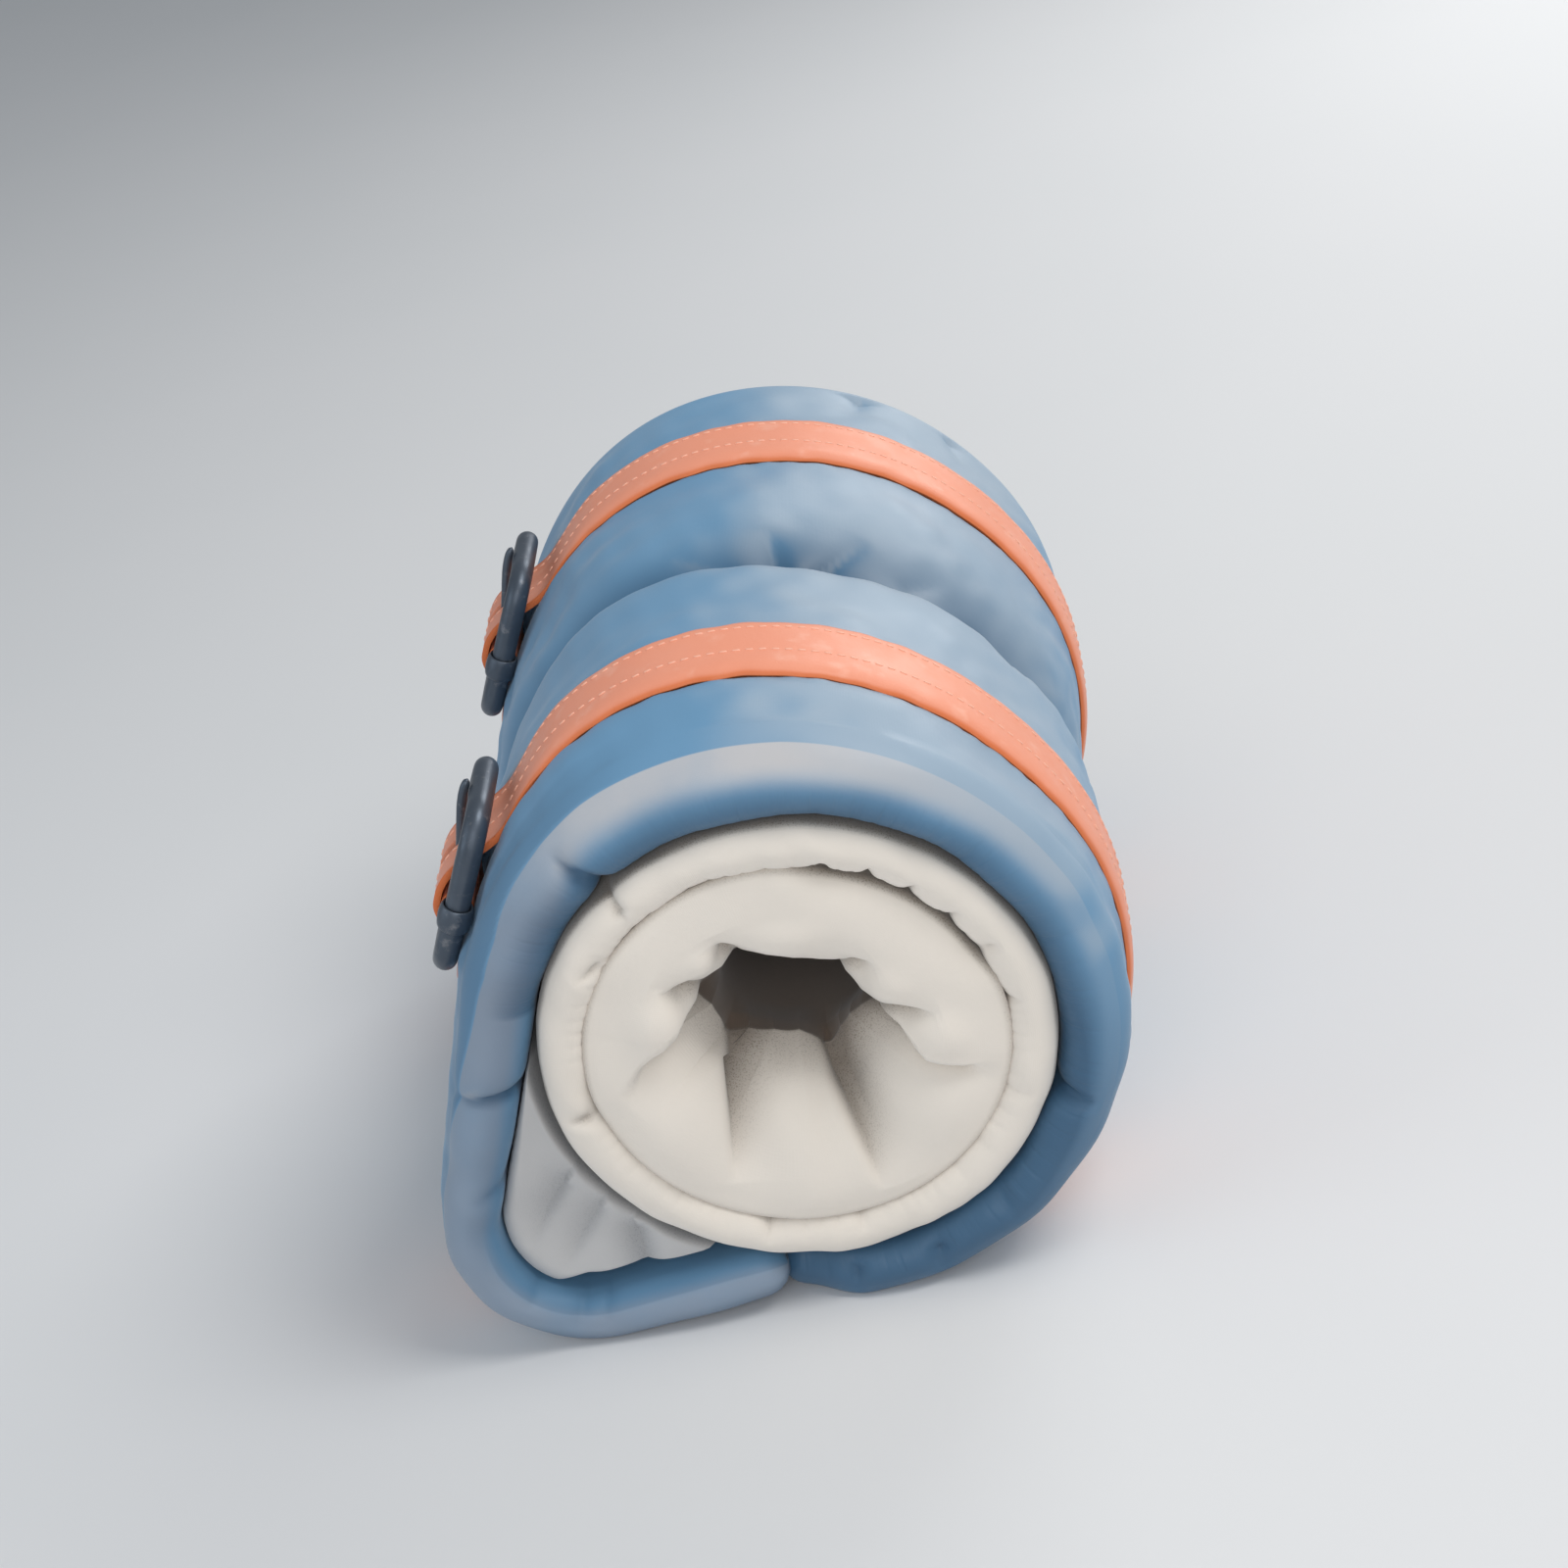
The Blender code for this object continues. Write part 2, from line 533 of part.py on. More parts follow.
def strap_path():
    """Middle line of a strap from its turned-back end round the roll to its tail.

    Returns points, the thickness and the half width at each, and the stations of the fold round the bar.
    """
    fold = BAR_RADIUS + LAYER_SPACE + STRAP_THICKNESS / 2
    lower = LOWER_FOOT
    straight_down = np.array([-sin(BUCKLE_ANGLE), cos(BUCKLE_ANGLE)])

    tail_run = np.linspace(lower, lower + TAIL_LENGTH, 6)
    long_run = np.concatenate([np.linspace(lower, lower + SINK_LENGTH, 7)])
    face, normal = outline_after_foot(long_run)
    main_out = STRAP_THICKNESS / 2 - STRAP_EMBED - sink_depth(long_run)
    main_run = face + normal * main_out[:, None]

    back_run = np.linspace(lower + TURN_BACK_LENGTH, lower, 4)
    face, normal = outline_after_foot(back_run)
    spacing = STRAP_THICKNESS / 2 + LAYER_SPACE + TURN_BACK_THICKNESS / 2
    back_out = STRAP_THICKNESS / 2 - STRAP_EMBED - sink_depth(back_run) + spacing
    turn_back = face + normal * back_out[:, None]

    down = -FOOT_UP
    window = bezier(buckle(0, fold), down * 0.25, -straight_down * 0.48, turn_back[-1], 8)
    fold_angles = np.linspace(pi / 2, -pi / 2, 9)
    wrap = buckle(fold * np.cos(fold_angles), fold * np.sin(fold_angles))
    under = bezier(buckle(0, -fold), down * 0.17, -straight_down * 0.52, main_run[0], 7)

    after = main_run[-1]
    slack_angles = np.linspace(LEAVE_ANGLE, 1.5 * pi, 11)
    straps_off = STRAP_THICKNESS / 2 - STRAP_EMBED
    slack_run = SLACK_CENTRE + polar(SLACK_RADIUS + straps_off, slack_angles)
    straight = after + (slack_run[0] - after) * np.array([[0.5]])
    roll_angles = np.linspace(-pi / 2, BUCKLE_ANGLE - radians(21), 36)
    roll_run = polar(ROLL_RADIUS + straps_off, roll_angles)

    top_start = roll_run[-1]
    top_direction = polar(1, roll_angles[-1] + pi / 2)
    over = fold + STRAP_THICKNESS + LAYER_SPACE
    crest = buckle(0.35 * BAR_OFFSET, over + 0.0002)
    rise = bezier(top_start, top_direction * 0.38, FOOT_UP * 0.40, crest, 14)

    window_normal = path_normals(window)
    window_thickness = np.linspace(STRAP_THICKNESS, TURN_BACK_THICKNESS, len(window))
    lift = window_thickness / 2 + LAYER_SPACE + STRAP_THICKNESS / 2
    over_window = window - window_normal * lift[:, None]
    stack = (TURN_BACK_THICKNESS + LAYER_SPACE) * (
        1 - smooth_step(tail_run, lower + TURN_BACK_LENGTH, lower + TAIL_LENGTH)
    )
    face, normal = outline_after_foot(tail_run)
    tail_out = 1.5 * STRAP_THICKNESS - STRAP_EMBED - sink_depth(tail_run) + LAYER_SPACE + stack
    tail = face + normal * tail_out[:, None]

    pieces = [
        (turn_back[:-1], TURN_BACK_THICKNESS),
        (window[::-1][:-1], window_thickness[::-1][:-1]),
        (wrap[:-1], STRAP_THICKNESS),
        (under[:-1], STRAP_THICKNESS),
        (main_run, STRAP_THICKNESS),
        (straight, STRAP_THICKNESS),
        (slack_run, STRAP_THICKNESS),
        (roll_run[:-1], STRAP_THICKNESS),
        (rise[:-1], STRAP_THICKNESS),
        (over_window[:-1], STRAP_THICKNESS),
        (tail, STRAP_THICKNESS),
    ]
    points = np.concatenate([piece for piece, _ in pieces])
    thickness = np.concatenate([np.broadcast_to(t, len(piece)) for piece, t in pieces])
    points[:, 1] = np.maximum(points[:, 1], FLOOR + STRAP_THICKNESS / 2)
    from_end = np.concatenate([np.cumsum(np.linalg.norm(np.diff(points, axis=0), axis=1)[::-1])[::-1], [0]])
    half_width = STRAP_WIDTH / 2 * (0.35 + 0.65 * np.clip(from_end / TAIL_POINT, 0, 1) ** 0.5)
    fold_start = len(turn_back) + len(window) - 2
    fold_stations = slice(fold_start - 4, fold_start + len(wrap) + 3)
    return points, thickness, half_width, fold_stations


def prong_line():
    """Middle line of the prong from its eye to its tip, which lies on the frame's upper bar."""
    rest_height = ROD_RADIUS + RUNNING_GAP + PRONG_TIP_RADIUS
    start_up = BAR_RADIUS + RUNNING_GAP + PRONG_EYE_WALL * 0.5
    up = np.array([start_up, FRAME_UPPER_HEIGHT * 0.45, FRAME_UPPER_HEIGHT * 0.8, FRAME_UPPER_HEIGHT, FRAME_UPPER_HEIGHT + PRONG_OVERHANG])
    out = rest_height * np.array([0.12, 0.54, 0.93, 1.0, 0.93])
    radius = np.array([PRONG_RADIUS, PRONG_RADIUS, PRONG_RADIUS * 0.93, PRONG_TIP_RADIUS, PRONG_TIP_RADIUS * 0.7])
    return up, out, radius


def strap_openings(points, fold_stations):
    """Half widths of the slot through each cell of a strap: the eye's slot in the fold, the prong's hole above it.

    The prong's hole takes every cell that the shaft can sweep, seen as an angle about the centre bar.
    """
    half_width = np.zeros(len(points) - 1)
    half_width[fold_stations.start : fold_stations.stop - 1] = PRONG_EYE_WIDTH / 2 + SLOT_CLEARANCE
    from_bar = points - buckle(0, 0)
    up, out = from_bar @ FOOT_UP, from_bar @ FOOT_NORMAL
    angle, distance = np.arctan2(out, up), np.hypot(out, up)
    prong_up, prong_out, _ = prong_line()
    rest = atan2(prong_out[1], prong_up[1])
    room = PRONG_RADIUS + SLOT_CLEARANCE
    margin = (room + STRAP_THICKNESS / 2) / distance
    swept = (angle > rest - BUCKLE_ROCK - margin) & (angle < rest + PRONG_LIFT + margin)
    swept &= distance < FRAME_UPPER_HEIGHT
    swept[: fold_stations.stop] = False
    half_width[swept[:-1] | swept[1:]] = room
    return half_width


def make_strap(label, y_middle, material):
    """One strap: turned-back end, slot for the prong's eye, band round the roll, prong hole and tail.

    The band is a grid of cells along the path and across the width; a cell is left out where a slot
    passes through, and a wall is put wherever a kept cell has no kept neighbour.
    """
    points, thickness, half_width, fold_stations = strap_path()
    angle = np.arctan2(points[:, 1], points[:, 0])
    points = points + polar(crown_rise(angle, y_middle), angle)
    across = path_normals(points) * thickness[:, None] / 2
    openings = strap_openings(points, fold_stations)
    slots = np.unique(openings[openings > 0])
    shares = np.concatenate([-half_width[:1], -slots[::-1], slots, half_width[:1]])
    columns = np.repeat(shares[None], len(points), 0)
    columns[:, 0], columns[:, -1] = -half_width, half_width
    inner_to_outer = np.minimum(np.abs(columns), half_width[:, None] * 0.98)
    columns[:, 1:-1] = np.sign(columns[:, 1:-1]) * inner_to_outer[:, 1:-1]
    middles = np.abs(shares[:-1] + shares[1:]) / 2
    kept = (middles[None] > openings[:, None]) | (openings[:, None] == 0)

    bm = bmesh.new()
    skins = [
        [[bm.verts.new(world(point, y_middle + y)) for y in row] for point, row in zip(face, columns)]
        for face in (points + across, points - across)
    ]
    stations, cells = kept.shape
    padded = np.pad(kept, 1)
    for i in range(stations):
        for j in range(cells):
            if not kept[i, j]:
                continue
            for skin in skins:
                bm.faces.new((skin[i][j], skin[i + 1][j], skin[i + 1][j + 1], skin[i][j + 1]))
            edges = (
                (padded[i, j + 1], (i, j), (i, j + 1)),
                (padded[i + 2, j + 1], (i + 1, j), (i + 1, j + 1)),
                (padded[i + 1, j], (i, j), (i + 1, j)),
                (padded[i + 1, j + 2], (i, j + 1), (i + 1, j + 1)),
            )
            for neighbour, (a, b), (c, d) in edges:
                if not neighbour:
                    bm.faces.new((skins[0][a][b], skins[0][c][d], skins[1][c][d], skins[1][a][b]))
    bmesh.ops.delete(bm, geom=[vert for vert in bm.verts if not vert.link_faces], context="VERTS")
    return add_object(f"strap_{label}", bm, material, 40)


def circle_rings(centres, ups, outs, radii, sides=SIDES):
    """Round section rings: centres with two unit directions each and a radius."""
    angles = np.linspace(0, 2 * pi, sides, endpoint=False)
    radii = np.broadcast_to(radii, len(centres))
    return np.array(
        [
            centre + radius * (np.cos(angles)[:, None] * up + np.sin(angles)[:, None] * out)
            for centre, up, out, radius in zip(centres, ups, outs, radii)
        ]
    )


UP_3D = np.array([FOOT_UP[0], 0, FOOT_UP[1]])
OUT_3D = np.array([FOOT_NORMAL[0], 0, FOOT_NORMAL[1]])
ALONG_3D = np.array([0.0, 1.0, 0.0])


def buckle_world(up, out, y):
    """A buckle point carried to its depth from the near end, as a world point."""
    return world(buckle(up, out), y)


def make_frame(label, y_middle, material):
    """Round rod bent into a rounded rectangle."""
    corner_angles = np.radians([0, 22.5, 45, 67.5, 90])
    half = FRAME_HALF_WIDTH
    corners = []
    for quadrant, (side, up) in enumerate(
        ((half, FRAME_UPPER_HEIGHT), (-half, FRAME_UPPER_HEIGHT), (-half, -FRAME_LOWER_HEIGHT), (half, -FRAME_LOWER_HEIGHT))
    ):
        centre = np.array([side - np.sign(side) * FRAME_CORNER, up - np.sign(up) * FRAME_CORNER])
        turn = corner_angles + quadrant * pi / 2
        corners.append(centre + FRAME_CORNER * np.stack([np.cos(turn), np.sin(turn)], axis=1))
    path = np.concatenate(corners)
    centres = buckle_world(path[:, 1], np.zeros(len(path)), y_middle + path[:, 0])
    ahead = np.roll(path, -1, axis=0) - np.roll(path, 1, axis=0)
    ahead /= np.linalg.norm(ahead, axis=1)[:, None]
    sideways = ahead[:, 1:2] * ALONG_3D - ahead[:, 0:1] * UP_3D
    outs = np.repeat(OUT_3D[None], len(path), 0)
    rings = circle_rings(centres, sideways, outs, ROD_RADIUS)
    return add_object(f"buckle_frame_{label}", loft(rings, closed=True), material)


def rod(name, start, end, radius, side_direction, material=None, sides=16):
    """A straight round rod between two world points."""
    ahead = (end - start) / np.linalg.norm(end - start)
    other = np.cross(ahead, side_direction)
    centres = np.stack([start, end])
    rings = circle_rings(centres, np.stack([side_direction] * 2), np.stack([other] * 2), radius, sides)
    return add_object(name, loft(rings), material)


def make_bar(label, y_middle, material):
    """Centre bar with an eye at each end, clamped round the frame's side rods."""
    bar = rod(
        f"buckle_bar_{label}",
        buckle_world(0, 0, y_middle - FRAME_HALF_WIDTH),
        buckle_world(0, 0, y_middle + FRAME_HALF_WIDTH),
        BAR_RADIUS,
        UP_3D,
        material,
    )
    eye_radius = ROD_RADIUS + LAYER_SPACE + EYE_WALL
    for side, word in ((-1, "near"), (1, "far")):
        y = y_middle + side * FRAME_HALF_WIDTH
        for radius, half_length, kind, operation in (
            (eye_radius, EYE_LENGTH / 2, "eye", "UNION"),
            (ROD_RADIUS + LAYER_SPACE, EYE_LENGTH, "rod_hole", "DIFFERENCE"),
        ):
            cutter = rod(
                f"{kind}_{word}_{label}",
                buckle_world(-half_length, 0, y),
                buckle_world(half_length, 0, y),
                radius,
                OUT_3D,
            )
            cut(bar, cutter, operation)
    return bar


def make_prong(label, y_middle, material):
    """Prong: an eye that turns on the centre bar and a tapered shaft with its tip on the upper bar."""
    pivot = bpy.data.objects.new(f"prong_pivot_{label}", None)
    pivot.location = buckle_world(0, 0, y_middle)
    bpy.context.scene.collection.objects.link(pivot)

    eye_radius = BAR_RADIUS + RUNNING_GAP + PRONG_EYE_WALL
    ends = [buckle_world(0, 0, y_middle + side * PRONG_EYE_WIDTH / 2) for side in (-1, 1)]
    prong = rod(f"buckle_prong_{label}", *ends, eye_radius, UP_3D, material)

    up, out, radius = prong_line()
    centres = buckle_world(up, out, y_middle)
    step = np.gradient(np.stack([up, out], axis=1), axis=0)
    step /= np.linalg.norm(step, axis=1)[:, None]
    across = step[:, 0:1] * OUT_3D - step[:, 1:2] * UP_3D
    sideways = np.repeat(ALONG_3D[None], len(up), 0)
    shaft = add_object(
        f"prong_shaft_{label}", loft(circle_rings(centres, sideways, across, radius)), None
    )
    cut(prong, shaft, "UNION")
    ends = [buckle_world(0, 0, y_middle + side * PRONG_EYE_WIDTH) for side in (-1, 1)]
    cut(prong, rod(f"bar_hole_{label}", *ends, BAR_RADIUS + RUNNING_GAP, UP_3D))

    bpy.context.view_layer.update()
    prong.parent = pivot
    prong.matrix_parent_inverse = pivot.matrix_world.inverted()
    return prong


def zip_stations():
    """The turn's own stations clear of its rounded ends: points, outward normals and half thickness."""
    points, normals, thickness, fullness = turn_outline(turn_arc_angles())
    keep = fullness > 0.99
    return points[keep], normals[keep], thickness[keep] / 2


def rim_point(point, normal, half, across, height):
    """Points over the turn's far rim: distances across the rim's round at heights above it."""
    radius = half + height
    angle = across / radius
    plane = point - normal * half + normal * (radius * np.sin(angle))[:, None]
    return world(plane, ROLL_LENGTH - half + radius * np.cos(angle))


def zip_strip(name, across, heights, material):
    """A strip sewn along the turn's far rim, from its section across and above the rim."""
    rings = np.array(
        [
            rim_point(point, normal, half, across, heights)
            for point, normal, half in zip(*zip_stations())
        ]
    )
    return add_object(name, loft(rings), material)


def make_zip(tape_material, chain_material, metal):
    """Two tapes on the far rim, the closed chain between them, and an end stop over each chain end."""
    edge = CHAIN_WIDTH / 2 + CHAIN_SIDE_GAP
    spread = edge + TAPE_WIDTH * np.array([0, 0.5, 1])
    low = np.full(3, LAYER_SPACE)
    high = low + TAPE_THICKNESS
    for side, word in ((1, "outer"), (-1, "inner")):
        across = side * np.concatenate([spread, spread[::-1]])
        zip_strip(f"zip_tape_{word}", across, np.concatenate([low, high]), tape_material)
    half = CHAIN_WIDTH / 2
    across = half * np.array([-1, 0, 1, 1, 0.55, -0.55, -1])
    crown = LAYER_SPACE + CHAIN_HEIGHT
    low = LAYER_SPACE
    heights = np.array([low, low, low, crown * 0.72, crown, crown, crown * 0.72])
    zip_strip("zip_chain", across, heights, chain_material)

    points, normals, halves = zip_stations()
    crest = points - normals * halves[:, None]
    make_stop("zip_bottom_stop", crest[0], crest[1], metal)
    make_stop("zip_top_stop", crest[-1], crest[-2], metal)


def box_between(name, low, high, place, directions, material=None):
    """A box given by its low and high corners in a place's own three directions."""
    bm = bmesh.new()
    bmesh.ops.create_cube(bm, size=1.0)
    low, high = np.asarray(low, float), np.asarray(high, float)
    middle, size = (low + high) / 2, high - low
    for vert in bm.verts:
        local = middle + size * np.array(vert.co)
        vert.co = place + directions.T @ local
    return add_object(name, bm, material, 30)


def make_stop(name, end_point, ahead_point, material):
    """A folded metal stop clamped over the chain's end."""
    ahead = ahead_point - end_point
    ahead = ahead / np.linalg.norm(ahead)
    place = world(end_point, ROLL_LENGTH)
    directions = np.array([[ahead[0], 0, ahead[1]], [-ahead[1], 0, ahead[0]], [0, 1, 0]])
    wide = CHAIN_WIDTH / 2 + CHAIN_SIDE_GAP / 2
    top = LAYER_SPACE + CHAIN_HEIGHT + LAYER_SPACE
    back = -STOP_LENGTH * 0.4
    stop = box_between(
        name, (back, -wide, LAYER_SPACE), (STOP_LENGTH * 0.6, wide, top + STOP_WALL), place, directions, material
    )
    room = CHAIN_WIDTH / 2 + LAYER_SPACE * 0.5
    cutter = box_between(
        f"{name}_room", (-LAYER_SPACE, -room, -STOP_LENGTH), (STOP_LENGTH, room, top), place, directions
    )
    cut(stop, cutter)


def slider_frame():
    """Place on the far rim's crest at the slider and its directions: along the zip, radial, outward."""
    place = world(ZIP_CENTRE + polar(MID_RADIUS, SLIDER_ANGLE), ROLL_LENGTH)
    along = polar(1, SLIDER_ANGLE + pi / 2)
    radial = polar(1, SLIDER_ANGLE)
    directions = np.array([[along[0], 0, along[1]], [radial[0], 0, radial[1]], [0, 1, 0]])
    return place, directions


def make_slider(material):
    """Slider: a channel over the chain with a bridge for the pull; it turns about the roll axis."""
    pivot = bpy.data.objects.new("slider_pivot", None)
    pivot.location = world(ZIP_CENTRE, ROLL_LENGTH)
    bpy.context.scene.collection.objects.link(pivot)
    place, directions = slider_frame()
    half_length = SLIDER_LENGTH / 2
    room = CHAIN_WIDTH / 2 + SLIDER_CLEARANCE
    wide = room + SLIDER_WALL
    foot = LAYER_SPACE + TAPE_THICKNESS + LAYER_SPACE
    top = ZIP_PLATE + SLIDER_WALL
    slider = box_between(
        "zip_slider", (-half_length, -wide, foot), (half_length, wide, top), place, directions, material
    )
    channel = box_between(
        "slider_channel", (-SLIDER_LENGTH, -room, -top), (SLIDER_LENGTH, room, ZIP_PLATE), place, directions
    )
    cut(slider, channel)
    bridge = box_between(
        "slider_bridge",
        (-BRIDGE_SPAN / 2, -BRIDGE_WIDTH / 2, top - SLIDER_WALL / 2),
        (BRIDGE_SPAN / 2, BRIDGE_WIDTH / 2, ZIP_PROUD),
        place,
        directions,
    )
    cut(slider, bridge, "UNION")
    opening = box_between(
        "bridge_opening",
        (-BRIDGE_SPAN / 2 + BRIDGE_WALL, -BRIDGE_WIDTH, top),
        (BRIDGE_SPAN / 2 - BRIDGE_WALL, BRIDGE_WIDTH, top + BRIDGE_HEIGHT),
        place,
        directions,
    )
    cut(slider, opening)
    bpy.context.view_layer.update()
    slider.parent = pivot
    slider.matrix_parent_inverse = pivot.matrix_world.inverted()
    return pivot


def make_pull(material, slider_pivot):
    """Pull: a flat tab whose end loop passes under the slider's bridge."""
    place, directions = slider_frame()
    top = ZIP_PLATE + SLIDER_WALL
    middle = top + BRIDGE_HEIGHT / 2
    pivot = bpy.data.objects.new("pull_pivot", None)
    pivot.location = place + directions.T @ np.array([0, 0, middle])
    pivot.parent = slider_pivot
    bpy.context.scene.collection.objects.link(pivot)
    half = PULL_THICKNESS / 2
    room = BRIDGE_WIDTH / 2 + RUNNING_GAP
    leg = hypot(BRIDGE_SPAN / 2, BRIDGE_HEIGHT / 2 + BRIDGE_WALL) + RUNNING_GAP
    wide = PULL_WIDTH / 2
    pull = box_between(
        "zip_pull",
        (-half, -wide, middle - half),
        (PULL_LENGTH, wide, middle + half),
        place,
        directions,
        material,
    )
    loop = box_between(
        "pull_loop", (half, -room, top - half), (leg, room, middle + PULL_LENGTH), place, directions
    )
    cut(pull, loop)
    grip = box_between(
        "pull_grip",
        (PULL_LENGTH * 0.5, -wide * 0.45, top - half),
        (PULL_LENGTH * 0.88, wide * 0.45, middle + PULL_LENGTH),
        place,
        directions,
    )
    cut(pull, grip)
    bpy.context.view_layer.update()
    pull.parent = pivot
    pull.matrix_parent_inverse = pivot.matrix_world.inverted()


def build():
    """Make the whole sleeping bag."""
    remove_everything()
    blue = principled("shell_blue", SHELL_BLUE, 0.7)
    cream = principled("lining_cream", LINING_CREAM, 0.85)
    grey = principled("lining_shade", BUNCH_GREY, 0.85)
    coral = principled("strap_coral", STRAP_CORAL, 0.55)
    steel = principled("buckle_grey", BUCKLE_GREY, 0.35, 0.8)
    tape = principled("zip_tape", TAPE_BLUE, 0.8)
    dark = principled("zip_dark", ZIP_DARK, 0.4)

    make_outer_turn(blue)
    make_outer_lining(cream)
    make_inner_lining(cream)
    make_bunch(grey)
    for label, y_middle in zip(("near", "far"), STRAP_PLACES):
        make_strap(label, y_middle, coral)
        make_frame(label, y_middle, steel)
        make_bar(label, y_middle, steel)
        make_prong(label, y_middle, steel)
    make_zip(tape, dark, steel)
    make_pull(steel, make_slider(steel))


build()
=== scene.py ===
"""Looks of the rolled sleeping bag: shell, linings, straps, buckles and zip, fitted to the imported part."""

from math import acos, atan2, cos, hypot, pi, radians, sin, sqrt

import bmesh
import bpy
import numpy as np
from mathutils import Euler, Matrix, Vector


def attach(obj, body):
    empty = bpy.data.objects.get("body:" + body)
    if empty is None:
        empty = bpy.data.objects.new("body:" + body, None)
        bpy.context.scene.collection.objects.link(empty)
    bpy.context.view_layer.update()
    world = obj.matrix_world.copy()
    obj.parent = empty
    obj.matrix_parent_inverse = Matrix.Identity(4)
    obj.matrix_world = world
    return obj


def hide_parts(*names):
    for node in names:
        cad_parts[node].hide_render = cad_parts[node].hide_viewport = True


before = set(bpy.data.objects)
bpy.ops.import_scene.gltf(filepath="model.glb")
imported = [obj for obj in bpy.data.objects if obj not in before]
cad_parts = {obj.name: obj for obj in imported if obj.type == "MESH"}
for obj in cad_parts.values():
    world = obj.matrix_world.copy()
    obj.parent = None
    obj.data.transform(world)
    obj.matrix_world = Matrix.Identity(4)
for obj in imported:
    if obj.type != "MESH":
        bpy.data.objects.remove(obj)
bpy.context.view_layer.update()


# Camera and stage.
# The bag stands on a pale floor under soft studio light. The camera looks down on its near end; it is
# rolled over a little, as the photograph shows the bag tilted.
ROLL_RADIUS = 0.152
ROLL_LENGTH = 0.410
SLACK_RADIUS = 0.066
SLACK_OVERHANG = 0.0358
FLOOR_SAG = 0.002
ZIP_PROUD = 0.0079
AXIS_PLACE = np.array([SLACK_OVERHANG / 2, -(ROLL_LENGTH + ZIP_PROUD) / 2, ROLL_RADIUS - FLOOR_SAG])
FLOOR = -AXIS_PLACE[2]

CAMERA_PLACE = Vector((-0.003, -1.079, 0.760))
CAMERA_PITCH = radians(30)
CAMERA_YAW = radians(0.1)
BAG_TILT = radians(13)
LENS_MM = 67.2
SENSOR_MM = 36

FLOOR_REACH = 8.0
FLOOR_GREY = (0.70, 0.71, 0.72, 1)
FLOOR_PALE_GREY = (0.73, 0.73, 0.74, 1)
SKY_COLOUR = (0.88, 0.94, 1.0, 1)
SKY_STRENGTH = 0.36


def put_in_scene(name, data):
    """A new object in the scene, round a mesh, a light or a camera."""
    thing = bpy.data.objects.new(name, data)
    bpy.context.scene.collection.objects.link(thing)
    return thing


camera_data = bpy.data.cameras.new("camera")
camera_data.lens = LENS_MM
camera_data.sensor_width = SENSOR_MM
camera = put_in_scene("camera", camera_data)
tilt = Matrix.Rotation(BAG_TILT, 4, "Y")
aim = Euler((pi / 2 - CAMERA_PITCH, 0, CAMERA_YAW)).to_matrix().to_4x4()
camera.matrix_world = Matrix.Translation(Vector(AXIS_PLACE) + tilt @ CAMERA_PLACE) @ tilt @ aim
bpy.context.scene.camera = camera
bpy.context.scene.view_settings.view_transform = "Standard"


class Wire:
    """One shader socket. A sum or product with a number or another wire adds a Math node."""

    def __init__(self, finish, socket):
        self.finish = finish
        self.socket = socket

    def math(self, operation, other):
        return self.finish.node("ShaderNodeMath", {"operation": operation}, {0: self, 1: other})

    def __add__(self, other):
        return self.math("ADD", other)

    def __mul__(self, other):
        return self.math("MULTIPLY", other)

    __radd__ = __add__
    __rmul__ = __mul__


